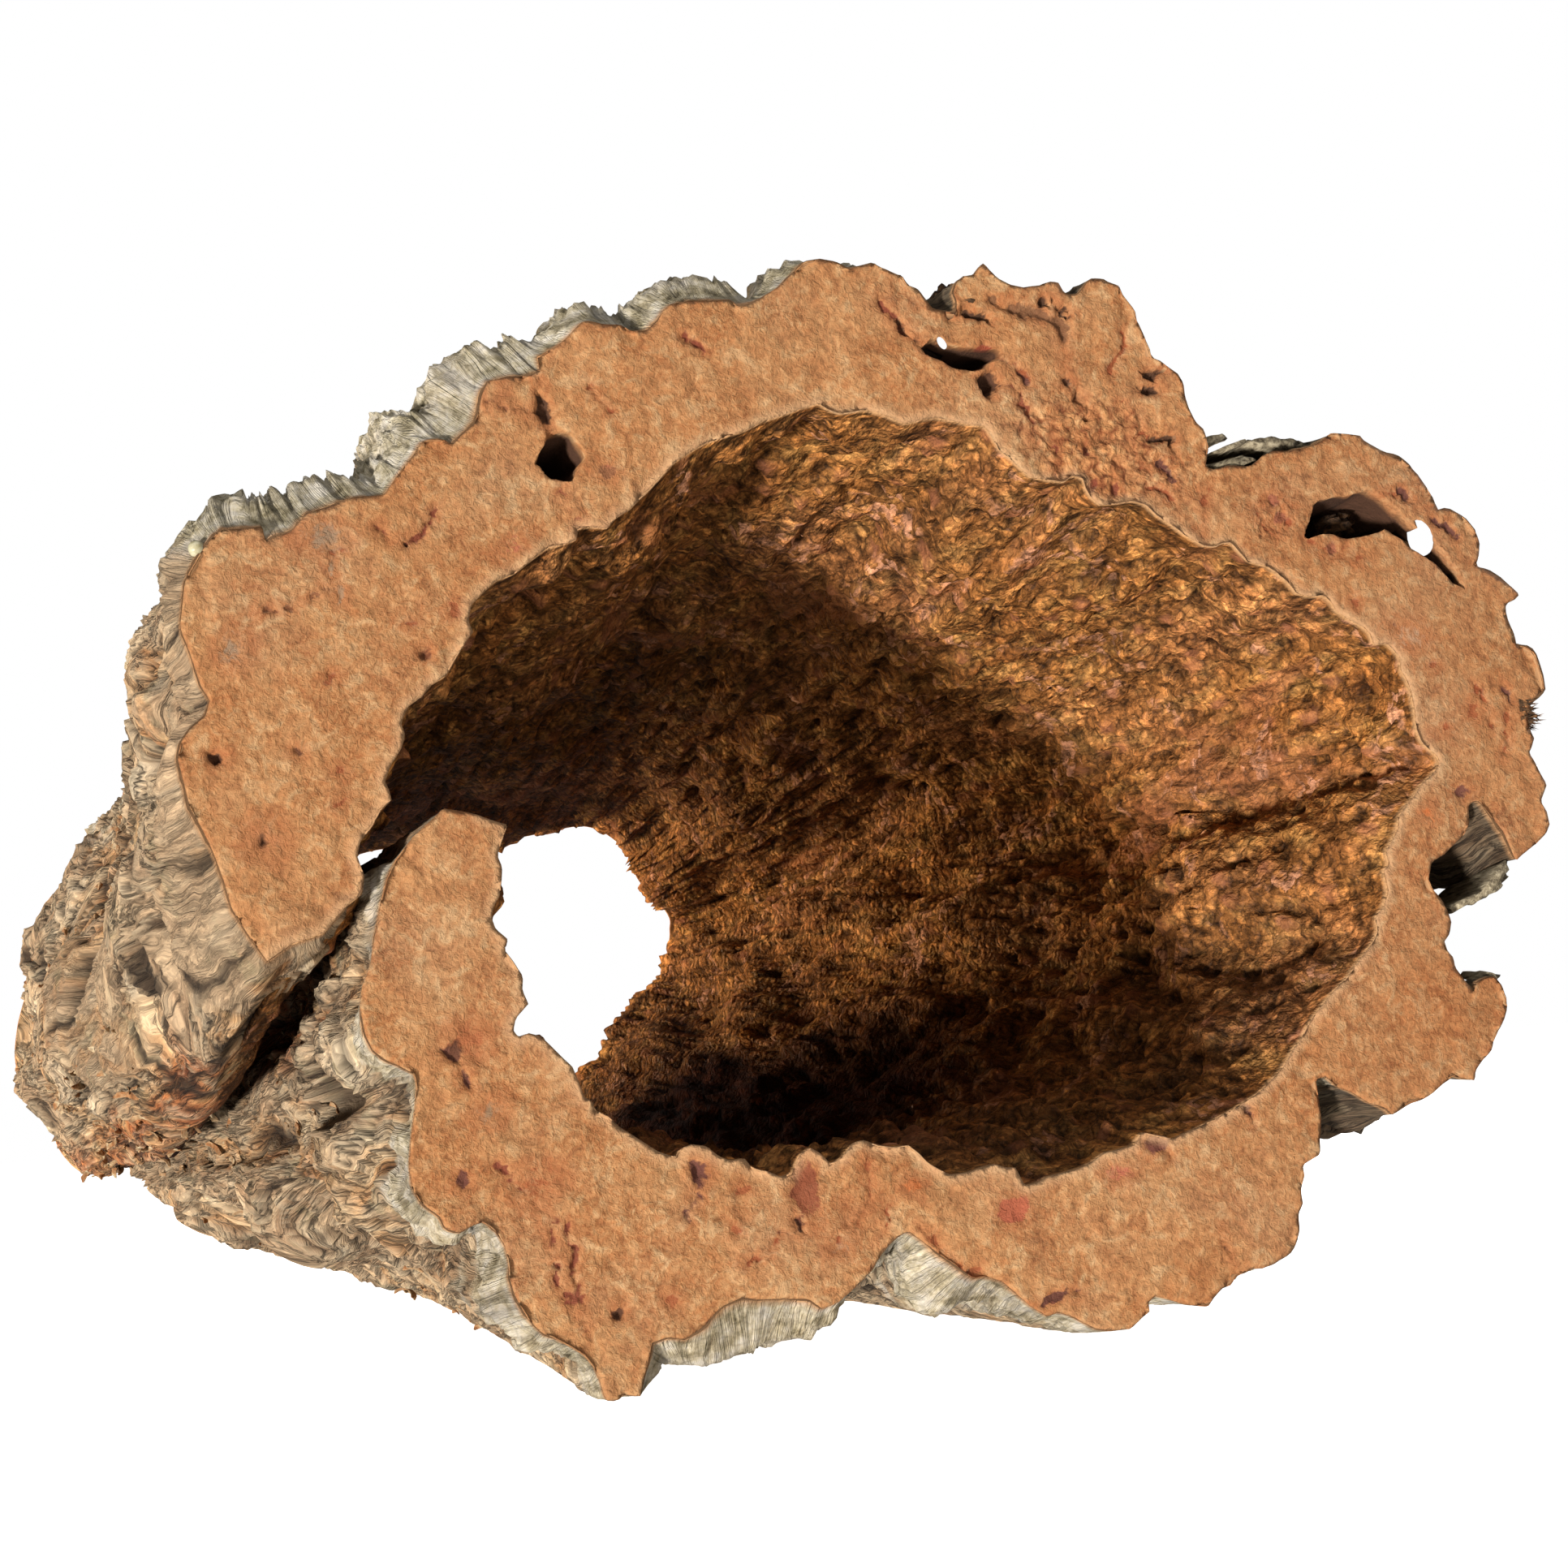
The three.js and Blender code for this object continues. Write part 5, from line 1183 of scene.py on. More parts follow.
PEEPHOLE = ("peephole", (7.1, 125.9), (21.7, 136.4), (0, 30), 0.9, 1.3)
without(core, hole, cavity, slit, rod(*VENT), rod(*PEEPHOLE))
print("core:", triangles(core), "triangles with its holes")

# %% Write the marks on the core
points = np.array([v.co for v in core.data.vertices]) * 1000
near_side = points[:, 1] < NEAR_CUT + 5
tints, weights, _, stains = marks_at(points[:, 0] - SHIFT_X, points[:, 2])
write_values(core, "stain", np.where(near_side, stains, 0))
write_values(core, "crumbly", 0.5 * near_side * crumbly_at(points[:, 0] - SHIFT_X, points[:, 2]))
tints = np.concatenate([tints, np.where(near_side, weights, 0)[:, None]], axis=1)
write_values(core, "mark", tints, "FLOAT_COLOR", "color")
inner_rim = near_outline[~is_out]
rim_away = np.full(len(points), 9.0)
shown = near_side & (points[:, 1] < NEAR_CUT + 3)
rim_away[shown] = edge_distance(points[shown][:, [0, 2]] - (SHIFT_X, 0), inner_rim)
write_values(core, "rim", 0.55 * (1 - smoothstep(rim_away, 0.3, 1.7)))
print("stained vertices:", int((stains[near_side] > 0.1).sum()), "of", int(near_side.sum()))

# %% [markdown]
# ### The lining of the hollow
# The inside of the sheet lay against the wood. It is a smooth golden brown skin with lumps a few
# millimetres across, drawn out along the branch. The rows lie close together near the camera and far
# apart at the back, where they are seen small.

# %% Rows, columns and layers
def graded(first, last, near_step, growth):
    """Distances along the branch whose steps grow with the distance."""
    found = [first]
    while found[-1] < last:
        found.append(found[-1] + near_step + growth * found[-1])
    found = np.array(found)
    return first + (found - first) * (last - first) / (found[-1] - first)


def column_places(first, last, step):
    """Fractional columns between two columns, evenly spaced on the fine edge."""
    twice = np.concatenate([fine_places - COLUMNS, fine_places])
    inside = (twice >= first) & (twice <= last)
    x, z = np.concatenate([fine_rim, fine_rim])[inside].T
    run = np.concatenate([[0], np.cumsum(np.hypot(np.diff(x), np.diff(z)))])
    return np.interp(np.linspace(0, run[-1], int(run[-1] / step)), run, twice[inside])


def layers(level, depth, slope, wide):
    """A smooth level turned into a stack of ragged sheets, with a mask along each sheet's raised edge for a
    painted highlight and one along the line under it for a painted shadow. A sheet falls off a little
    behind its edge."""
    step = np.floor(level)
    share = level - step
    height = depth * (step + smoothstep(share, 0.0, wide) - slope * share)
    edge = np.exp(-(((share - wide) / wide) ** 2))
    shadow_line = np.exp(-(((1 - share) / wide) ** 2))
    return height, edge, shadow_line

# %% The relief of the lining
wall_places = column_places(OUTSIDE_COLUMNS - 1, COLUMNS - 1, 0.62)
wall_alongs = graded(0.36, 269.3, 0.8, 0.018)
base, outward = surface(wall_places, wall_alongs)
a, l = np.meshgrid(distance_around(wall_places), wall_alongs)
b = a + 4 * noise(a / 30, l / 40, 81)
folds = 0.5 - np.abs(noise(b / 6.5 + l / 60, l / 24, 85))
nubs = cells(b / 2.6 + 0.3 * noise(b / 3, l / 3, 90), l / 3.6, 88)
nub = (0.55 - nubs[0]) * (0.6 + 0.4 * nubs[2])
flakes = cells(b / 7, l / 9, 89)
flake = (1 - smoothstep(flakes[0], 0.1, 0.2)) * (flakes[2] > 0.1)
ledge_level = 1.3 * noise(b / 13, l / 20, 93) + 0.8 * noise(b / 4, l / 6, 94)
ledge_level += 0.25 * noise(b / 1.4, l / 1.8, 95)
ledges, _, ledge_shadow = layers(ledge_level, 0.8, 0.35, 0.14)
lumps = (
    ledges + 1.6 * noise(b / 14, l / 32, 82) + 1.0 * noise(b / 5.5, l / 9, 83) + 0.9 * folds
    + 2.0 * nub * (0.4 + 0.6 * smoothstep(noise(b / 16, l / 20, 91), -0.4, 0.4))
    + 0.35 * noise(b / 1.2, l / 1.6, 86) + 0.5 * flake
)
pits = -1.6 * (1 - smoothstep(cells(b / 10, l / 14, 87)[0], 0.03, 0.16))
lip_fade = smoothstep(tip_distance(wall_places), 0, 16)
lining_height = (lumps + pits) * smoothstep(l, 0.5, 10) * 1.15 * (0.3 + 0.7 * lip_fade)
lining_height = np.maximum(lining_height, -0.85 * core_sink(l, tip_distance(wall_places), CORE_SINK_INSIDE))
wall_front = base + outward * lining_height[:, :, None]
hidden_alongs = [0.4, 2, 8, 20, 45, 90, 140, 190, 240, 262, 269.2]
hidden, hidden_outward = surface(wall_places, hidden_alongs)
taper = 0.2 + (0.8 + 3.4 * lip_fade) * smoothstep(np.array(hidden_alongs), 0.5, 8)[:, None]
wall_back = hidden - hidden_outward * taper[:, :, None]
front = to_metres(wall_front[..., 0], l, wall_front[..., 1])
hidden_rows = np.array(hidden_alongs)[:, None] + 0 * wall_back[..., 0]
back = to_metres(wall_back[..., 0], hidden_rows, wall_back[..., 1])
print("lining relief:", round(lining_height.min(), 2), "to", round(lining_height.max(), 2), "mm")

# %% The finish of the lining
lining, tree, shader, place = new_finish("lining of the hollow")
flow = add(tree, "Mapping", {"Vector": place, "Scale": (1, 0.35, 1)}).outputs[0]
broad = ramp(tree, grain(tree, flow, 0.06, 3.0), [
    (0.32, (150, 92, 44)), (0.5, (176, 118, 62)), (0.68, (190, 126, 84)),
])
patch = ramp(tree, grain(tree, flow, 0.24, 5.0, 0.62), [
    (0.34, (122, 72, 34)), (0.5, (172, 112, 58)), (0.66, (206, 152, 84)),
])
colour = blend(tree, 0.6, broad, patch)
smooth_patch = ramp(tree, grain(tree, flow, 0.05, 2.0, Distortion=0.6), [(0.6, 0.0), (0.66, 1.0)])
colour = blend(tree, sums(tree, "MULTIPLY", smooth_patch, 0.5), colour, tone(168, 104, 70))
stirred = stir(tree, place, 0.45, 3.2)
crumb = add(tree, "TexVoronoi", {"Vector": stirred, "Scale": 0.62})
tiny = add(tree, "TexVoronoi", {"Vector": stirred, "Scale": 1.25})
own_tone = add(tree, "SeparateColor", {0: crumb.outputs["Color"]}).outputs[0]
tiny_tone = add(tree, "SeparateColor", {0: tiny.outputs["Color"]}).outputs[0]
rough_part = blend(tree, smooth_patch, (1, 1, 1, 1), (0.25, 0.25, 0.25, 1))
crumbs = ramp(tree, own_tone, [(0.0, 0.56), (0.5, 1.0), (1.0, 1.5)])
crumbs = shade(tree, 1.0, crumbs, ramp(tree, tiny_tone, [(0.0, 0.74), (0.5, 1.0), (1.0, 1.24)]))
# Painted shade at the edge of each crumb and a painted highlight on its top.
painted_crumb_shade = ramp(tree, crumb.outputs["Distance"], [(0.25, 1.15), (0.55, 0.86), (0.85, 0.3)])
crumbs = shade(tree, 1.0, crumbs, painted_crumb_shade)
colour = shade(tree, sums(tree, "MULTIPLY", rough_part, 0.9), colour, crumbs)
cluster = ramp(tree, grain(tree, place, 0.1, 4.0, 0.6), [(0.56, 0.0), (0.62, 1.0)])
rosy = sums(tree, "MULTIPLY", cluster, ramp(tree, own_tone, [(0.55, 0.0), (0.62, 0.8)]))
colour = blend(tree, rosy, colour, tone(206, 146, 112))
soot = ramp(tree, grain(tree, flow, 0.16, 4.0, 0.6, Distortion=0.6), [(0.3, 0.35), (0.42, 1.0)])
colour = shade(tree, 0.8, colour, soot)
fine = grain(tree, flow, 0.9, 3.0, 0.6, Distortion=0.3)
colour = shade(tree, 0.9, colour, ramp(tree, fine, [(0.3, 0.62), (0.5, 1.0), (0.68, 1.26)]))
cracks, threads = ridges(tree, flow, 0.4, 5.0), ridges(tree, place, 1.1)
colour = shade(tree, 1.0, colour, ramp(tree, cracks, [(0.0, 0.3), (0.014, 0.6), (0.05, 1.0)]))
colour = shade(tree, 1.0, colour, ramp(tree, threads, [(0.0, 1.5), (0.03, 1.15), (0.08, 0.94)]))
# Painted shade in the hollows and painted light on the lumps, read from the small relief.
painted_valley_shade = ramp(tree, value_of(tree, "height"), [(0.25, 0.25), (0.48, 0.9), (0.75, 1.35)])
colour = shade(tree, 0.9, colour, painted_valley_shade)
colour = blend(tree, sums(tree, "MULTIPLY", value_of(tree, "flake"), 0.55), colour, tone(188, 118, 82))
# Painted shade on the floor of the hollow and low on its right wall.
colour = shade(tree, value_of(tree, "floor"), colour, (0.08, 0.05, 0.05, 1))
colour = blend(tree, rim_of(tree, place), colour, tone(206, 158, 110))
fine_relief = sums(tree, "MULTIPLY_ADD", crumb.outputs["Distance"], -0.8, fine)
join(tree, shader.inputs, {
    "Base Color": colour, "Roughness": 0.68, "Specular IOR Level": 0.12,
    "Normal": bump(tree, fine_relief, 0.9, 0.8),
})
print(lining.name, "has", len(tree.nodes), "nodes")

# %% The lining and what its finish reads
wall = closed_slab("cork_lining", front, back, lining)
spare = np.zeros(back.shape[0] * back.shape[1])
# The values for the painted shade in the hollows: the small relief, with a painted shadow under each ledge.
small = 1.3 * nub + 0.5 * folds + 0.5 * pits + 0.3 * noise(b / 1.2, l / 1.6, 86)
small = 0.5 - 0.3 * ledge_shadow + 0.35 * small
write_values(wall, "height", np.concatenate([small.ravel(), spare]))
# Painted shade on the floor of the hollow and low on its right wall, strongest deeper in.
low_down = base[..., 1] + 5 * noise(b / 12, l / 25, 96)
deep_in = smoothstep(l, 40, 100) * (1 - smoothstep(l, 190, 230))
stain_and_painted_shade = (1 - smoothstep(low_down, 34, 52)) * (0.4 + 0.6 * deep_in)
corner = 0.4 * (1 - smoothstep(low_down, 42, 62)) * smoothstep(base[..., 0], 15, 45)
stain_and_painted_shade = np.maximum(stain_and_painted_shade, corner) * smoothstep(l, 3, 14)
write_values(wall, "floor", np.concatenate([stain_and_painted_shade.ravel(), spare]))
write_values(wall, "flake", np.concatenate([flake.ravel(), spare]))
print("lining:", triangles(wall), "triangles")

# %% [markdown]
# ### The crust of bark
# The outside weathered for decades. It sheds thin fibrous sheets, so its face is stepped like a worn
# stack of paper, with long dark cracks between the sheets and fibres that wander along the branch. The
# crust is a thin shell in four panels that start just behind the saw cut.

# %% The relief of the crust
def bark_relief(a, l, wild):
    """Height over the sheet's surface in mm, the values for the finish, and the way of the fibres."""
    b = a + 4.5 * noise(a / 19, l / 26, 101) + 1.9 * noise(a / 5, l / 11, 102)
    b += 0.5 * noise(a / 1.5, l / 3.5, 111)
    c = l + 8 * noise(a / 9, l / 22, 103) + 2 * noise(a / 2, l / 6, 112)
    split = 1 - smoothstep(np.abs(noise(b / 8.5, c / 46, 104)), 0.0, 0.13)
    split *= smoothstep(noise(b / 21, c / 30, 105), -0.4, 0.1)
    sheet_level = 2.1 * noise(b / 8, c / 34, 106) + 1.1 * noise(b / 3.1, c / 16, 107)
    sheet_level += 0.35 * noise(b / 1.2, c / 7, 113)
    sheet, sheet_highlight, sheet_shadow = layers(sheet_level, 1.05, 0.45, 0.13)
    ply_level = 2.2 * noise(b / 3.2, c / 22, 114) + 0.7 * noise(b / 1.3, c / 9, 115)
    ply, ply_highlight, ply_shadow = layers(ply_level, 0.36, 0.4, 0.16)
    fibre = 0.34 * (0.5 - np.abs(noise(b / 1.7, c / 17, 108))) + 0.2 * noise(b / 1.0, c / 8, 109)
    fine = 0.14 * noise(a / 0.9, l / 0.9, 110)
    height = wild * (sheet + ply - 2.0 * split) + (0.35 + 0.65 * wild) * (fibre + fine)
    # dark is painted shade in the splits and under the sheets' edges; pale is a painted highlight on those
    # edges.
    values = {
        "dark": np.clip(split + wild * (0.85 * sheet_shadow + 0.5 * ply_shadow), 0, 1),
        "pale": np.clip(wild * (0.8 * sheet_highlight + 0.45 * ply_highlight), 0, 1),
        "peel": (sheet_level + 3) / 6,
        "leaf": 0.5 + 0.5 * speckle(np.floor(sheet_level), np.floor(ply_level), 7) * (0.4 + 0.6 * wild),
    }
    return height, values, np.stack([b, 0.13 * c, 0 * b], axis=-1)

# %% [markdown]
# On the left the camera looks along the bark, and its large forms are plain to see: a smooth skirt that
# hangs over the lip, a broad striped plate, a twisted flake, and dark gaps between them. They are drawn
# as shapes on the unrolled crust, by their distance around and along the branch.

# %% The drawn forms of the crust
SKIRT = [
    (-4, 0), (54, 0), (45, 7), (29, 8.5), (22, 9.5), (17, 13), (14.6, 30), (13.1, 33), (7.6, 31), (2.5, 18),
    (-0.2, 5), (-4, 3),
]
BROAD_PLATE = [
    (16, 47), (20.5, 60), (24.5, 88), (28.5, 117), (31, 134), (22, 137), (15, 127), (9.5, 96), (6.5, 68),
    (9, 50),
]
FLAKE = [(22.5, 42), (20.5, 47), (14, 45.5), (10.5, 42), (11, 38.5), (16, 40)]
GAPS = [
    [(17, 34), (16, 39), (12, 41.5), (7, 45), (5.6, 37), (9, 33.5), (13, 35.5)],
    [(30, 101), (26, 100), (21.6, 106), (20.6, 117), (23.6, 119), (27.4, 111)],
    [(37.4, 30), (36.6, 42), (34.8, 42), (35, 31)],
    [(34, 176), (31, 172), (27, 184), (26, 197), (31, 194)],
    [(46, 70), (43, 66), (40, 78), (41, 92), (45, 86)],
]


def drawn(a, l, corners, soft=0.3):
    """1 inside a closed shape on the unrolled crust and 0 outside of it, with a ragged edge."""
    outline = np.array(corners, float) / (1, 3)
    u, v = a + 0.7 * noise(a / 2.6, l / 5, 121) + 0.3 * noise(a / 0.8, l / 2, 122), l / 3
    away = line_distance(u, v, np.vstack([outline, outline[:1]]))
    inside = is_inside(np.stack([u.ravel(), v.ravel()], axis=1), outline).reshape(a.shape)
    return smoothstep(np.where(inside, away, -away), -soft, soft)

# %% The forms of each panel
def plain_forms(a, l):
    """Extra height, calm, gaps, torn places and lichen of a panel without drawn forms."""
    patches = smoothstep(noise(a / 11, l / 19, 124) + 0.4 * noise(a / 3, l / 5, 125), 0.35, 0.6)
    return 0 * a, 0 * a, 0 * a, 0 * a, 0.6 * patches


def crown_lichen(a, l):
    """Lichen of the upper side: dense near the saw cut and in scattered patches further back."""
    near = 1 - smoothstep(l + 5 * noise(a / 5, l / 4, 127) + 9 * noise(a / 15, l / 12, 134), 8, 30)
    return np.maximum(near, plain_forms(a, l)[4])


def left_forms(a, l):
    """The drawn forms, a low ridge behind the cut, the torn lip, and lichen towards the crown."""
    skirt, plate, flake = drawn(a, l, SKIRT), drawn(a, l, BROAD_PLATE), drawn(a, l, FLAKE)
    # The gaps are sunk and painted dark as shade.
    gaps = np.max([drawn(a, l, gap, 0.7) for gap in GAPS], axis=0)
    deep = 1.6 + 2.6 * smoothstep(a, 12, 26)
    torn = (1 - smoothstep(a + 2 * noise(a / 4, l / 9, 126), 4, 8.5)) * smoothstep(l, 34, 50)
    lichen = smoothstep(a, 47, 53) * crown_lichen(a, l)
    calm = np.maximum(0.8 * skirt, 0.65 * plate)
    from_ridge = l - 3.4 - 0.9 * noise(a / 6, 0 * a, 123)
    ridge = np.exp(-((from_ridge / 0.8) ** 2)) * smoothstep(a, 6, 10) * (1 - smoothstep(a, 32, 36))
    extra = 1.4 * skirt + 1.3 * plate + 2.4 * flake + ridge - deep * gaps
    return extra, calm, gaps, torn, lichen


def crown_forms(a, l):
    """Lichen on the crown, and dark bark at its right end."""
    lichen = crown_lichen(a, l)
    knob = smoothstep(a, 152, 162)
    return 0 * a, 0.2 * lichen, 0.75 * knob * lichen, 0 * a, lichen * (1 - knob)


def right_forms(a, l):
    """Painted shade in the clefts on the right, near the saw cut, where lichen is left out."""
    extra, calm, _, torn, lichen = plain_forms(a, l)
    near = 1 - smoothstep(l, 18, 40)
    return extra, calm, 0.75 * near, torn, lichen * (1 - near)


def foot_forms(a, l):
    """The knot's hole, the torn lip, and a bank of lichen right behind the cut."""
    wide = 12 - 7 * smoothstep(a, 572, 590)
    bank = 1 - smoothstep(l + 6 * noise(a / 7, l / 4, 128), wide - 4, wide + 3)
    torn = smoothstep(a + 2 * noise(a / 4, l / 9, 126), 604, 609) * smoothstep(l, 38, 60)
    # The knot's hole is painted dark as shade.
    gaps = smoothstep(knot_dent(a, l) + 1.2 * noise(a / 2.5, l / 4, 132), 0.8, 4)
    return -knot_dent(a, l), 0.25 * bank, 0.85 * gaps, torn, 0.85 * bank

# %% [markdown]
# Each panel is the sheet's surface with the relief and the forms added. Right behind the saw cut and
# near the lips the crust is thin, so it never sinks below the core there.

# %% Make one panel
# Where the front's first and last rows lie, the back's rows, and the most that the relief may rise.
CRUST_START, CRUST_END = 0.36, 269.4
CRUST_BACK_ALONGS = np.array([
    0.4, 2, 5, 10, 20, 28, 36, 44, 52, 60, 70, 85, 110, 140, 170, 200, 230, 255, 269.2,
])
CRUST_MOST = 2.7
# How deep the back of a panel lies. It has to stay inside of the thinner sheet on the right.
LEFT_ROOT, OTHER_ROOT = 6, 3.7


def bark_panel(name, first, last, step, near_step, growth, finish, forms):
    """A closed panel of crust between two columns, with its relief, its forms and its values."""
    places = column_places(first, last, step)
    alongs = graded(CRUST_START, CRUST_END, near_step, growth)
    base, outward = surface(places, alongs)
    a, l = np.meshgrid(distance_around(places), alongs)
    tips = tip_distance(places)
    extra, calm, gaps, torn, lichen = forms(a, l)
    height, values, flow = bark_relief(a, l, 1 - 0.8 * calm)
    crumbs = cells(a / 2.3, l / 2.6, 129)
    height += extra + lichen * (0.9 * (0.6 - crumbs[0]) + 0.5 * noise(a / 0.8, l / 0.9, 130))
    worn = smoothstep(base[..., 1], 0.5, 8)
    run = 5 + 10 * smoothstep(a, 140, 185) * (1 - smoothstep(a, 420, 470))
    grown = smoothstep((l - 0.5) / run, 0, 1)
    height *= (0.3 + 0.7 * smoothstep(tips, 0, 14)) * (0.12 + 0.88 * grown) * (0.25 + 0.75 * worn)
    room = core_sink(np.minimum(l, LENGTH - l), tips, CORE_SINK_OUTSIDE) + 1.2 * np.maximum(-extra, 0)
    height = np.clip(height, -0.85 * room, CRUST_MOST)
    points = base + outward * height[:, :, None]
    low_base, low_outward = surface(places, CRUST_BACK_ALONGS)
    low_a, low_l = np.meshgrid(distance_around(places), CRUST_BACK_ALONGS)
    rooted = LEFT_ROOT if forms is left_forms else OTHER_ROOT
    thick = 0.2 + (0.8 + rooted * smoothstep(tips, 0, 16)) * smoothstep(low_l, 0.4, 6)
    thick += 1.1 * np.maximum(-forms(low_a, low_l)[0], 0) * (forms is foot_forms)
    low = low_base - low_outward * thick[:, :, None]
    front = to_metres(points[..., 0], l, points[..., 1])
    made = closed_slab(name, front, to_metres(low[..., 0], low_l, low[..., 1]), finish)
    spare = np.zeros(low_l.size)
    # The dark values carry painted shade: splits, lines under the sheets' edges, gaps, clefts and the knot
    # hole.
    values["dark"] = np.maximum(values["dark"] * (1 - 0.5 * lichen), gaps)
    values.update(calm=calm, torn=torn, lichen=lichen)
    # The back of each panel is painted dark as shade.
    for key, own in values.items():
        write_values(made, key, np.concatenate([own.ravel(), spare + 1.1 * (key == "dark")]))
    both = np.concatenate([flow.reshape(-1, 3), np.zeros((low_l.size, 3))])
    write_values(made, "flow", both, "FLOAT_VECTOR", "vector")
    print(name, triangles(made), "triangles")
    return made

# %% [markdown]
# The crust's colour follows its shape. Old sheets are grey-beige, each with its own tone, freshly peeled
# ones are pale cream, and where the sheet tore the orange cork shows. Cracks, gaps and the lines under
# the sheets' edges get a nearly black painted shade, and the edges a painted highlight. The fibres of the
# finish run along the same wandering lines as the relief. Mint and white lichen grew on the crown and at
# the foot.

# %% The finish of the crust
bark, tree, shader, place = new_finish("weathered bark")
flow = add(tree, "Attribute", {}, attribute_name="flow").outputs["Vector"]
strands = grain(tree, flow, 1.5, 6.0, 0.68, Distortion=0.5)
still = ramp(tree, value_of(tree, "calm"), [(0.0, 1.0), (0.7, 0.35)])
cracks, threads = ridges(tree, flow, 0.6, 5.0), ridges(tree, flow, 1.7)
broad = grain(tree, flow, 0.22, 5.0, 0.62)
old = ramp(tree, broad, [
    (0.3, (134, 104, 76)), (0.44, (190, 154, 118)), (0.56, (214, 182, 144)),
    (0.7, (236, 214, 182)),
])
fresh = ramp(tree, broad, [(0.32, (172, 108, 62)), (0.48, (216, 164, 112)), (0.68, (244, 216, 174))])
patches = sums(tree, "MULTIPLY_ADD", grain(tree, place, 0.12, 4.0), 0.9, -0.45)
peel = sums(tree, "ADD", value_of(tree, "peel"), patches)
colour = blend(tree, ramp(tree, peel, [(0.34, 1.0), (0.46, 0.0)]), old, fresh)
leaf_tone = ramp(tree, value_of(tree, "leaf"), [(0.0, 0.64), (0.5, 0.96), (1.0, 1.24)])
colour = shade(tree, 0.8, colour, leaf_tone)
colour = blend(tree, sums(tree, "MULTIPLY", value_of(tree, "calm"), 0.6), colour, tone(204, 174, 138))
torn_colour = ramp(tree, broad, [
    (0.34, (150, 76, 40)), (0.46, (212, 126, 70)), (0.58, (230, 172, 112)),
    (0.7, (246, 208, 156)),
])
colour = blend(tree, sums(tree, "MULTIPLY", value_of(tree, "torn"), 0.9), colour, torn_colour)
moss = ramp(tree, grain(tree, place, 0.11, 5.0, 0.65), [(0.56, 0.0), (0.66, 0.4)])
colour = blend(tree, moss, colour, tone(156, 150, 112))
colour = shade(tree, still, colour, ramp(tree, strands, [(0.34, 0.42), (0.5, 0.98), (0.64, 1.3)]))
colour = shade(tree, 1.0, colour, ramp(tree, threads, [(0.0, 1.4), (0.03, 1.1), (0.08, 0.9)]))
# Painted highlight on the sheets' edges.
colour = blend(tree, sums(tree, "MULTIPLY", value_of(tree, "pale"), 0.5), colour, tone(224, 204, 170))
# Painted shade in the fine cracks.
colour = shade(tree, still, colour, ramp(tree, cracks, [(0.0, 0.2), (0.012, 0.5), (0.04, 1.0)]))
crust = ramp(tree, grain(tree, place, 0.3, 6.0, 0.7), [
    (0.32, (96, 84, 60)), (0.4, (180, 166, 132)), (0.5, (230, 216, 186)),
    (0.62, (250, 240, 222)),
])
scales = add(tree, "TexVoronoi", {"Vector": place, "Scale": 0.55}, feature="DISTANCE_TO_EDGE")
rosette = ramp(tree, scales.outputs["Distance"], [(0.0, 0.4), (0.12, 1.0)])
crust = shade(tree, 0.45, crust, rosette)
colour = blend(tree, value_of(tree, "lichen"), colour, crust)
# Painted shade in the splits, under the sheets' edges, and in the gaps, clefts and knot hole.
colour = blend(tree, sums(tree, "MULTIPLY", value_of(tree, "dark"), 0.9), colour, tone(44, 32, 24))
colour = blend(tree, rim_of(tree, place), colour, tone(200, 150, 104))
crack_relief = sums(tree, "MINIMUM", sums(tree, "MULTIPLY", cracks, 6.0), 0.3)
join(tree, shader.inputs, {
    "Base Color": colour, "Roughness": 0.9, "Specular IOR Level": 0.2,
    "Normal": bump(tree, sums(tree, "ADD", strands, crack_relief), 0.9, 1.0),
})
print(bark.name, "has", len(tree.nodes), "nodes")

# %% The four panels
LEFT_END, CROWN_END, RIGHT_END = 20, 41, 89
left = bark_panel("bark_left", -3.2, LEFT_END, 0.38, 0.42, 0.0088, bark, left_forms)
crown = bark_panel("bark_crown", LEFT_END, CROWN_END, 0.6, 0.55, 0.014, bark, crown_forms)
right = bark_panel("bark_right", CROWN_END, RIGHT_END, 0.95, 0.9, 0.012, bark, right_forms)
foot = bark_panel("bark_foot", RIGHT_END, OUTSIDE_COLUMNS - 1, 0.66, 0.55, 0.013, bark, foot_forms)
without(right, rod(*VENT))
without(crown, rod(*PEEPHOLE))

# %% [markdown]
# ## Loose bits
# Bark that weathers comes off in small curled chips, which give the crust its ragged outline. They are
# all alike but for size and tilt, so one chip is shaped once and Geometry Nodes repeat it over a coarse
# copy of the crust. The tree ends in real geometry, because only plain meshes go into the part's file.

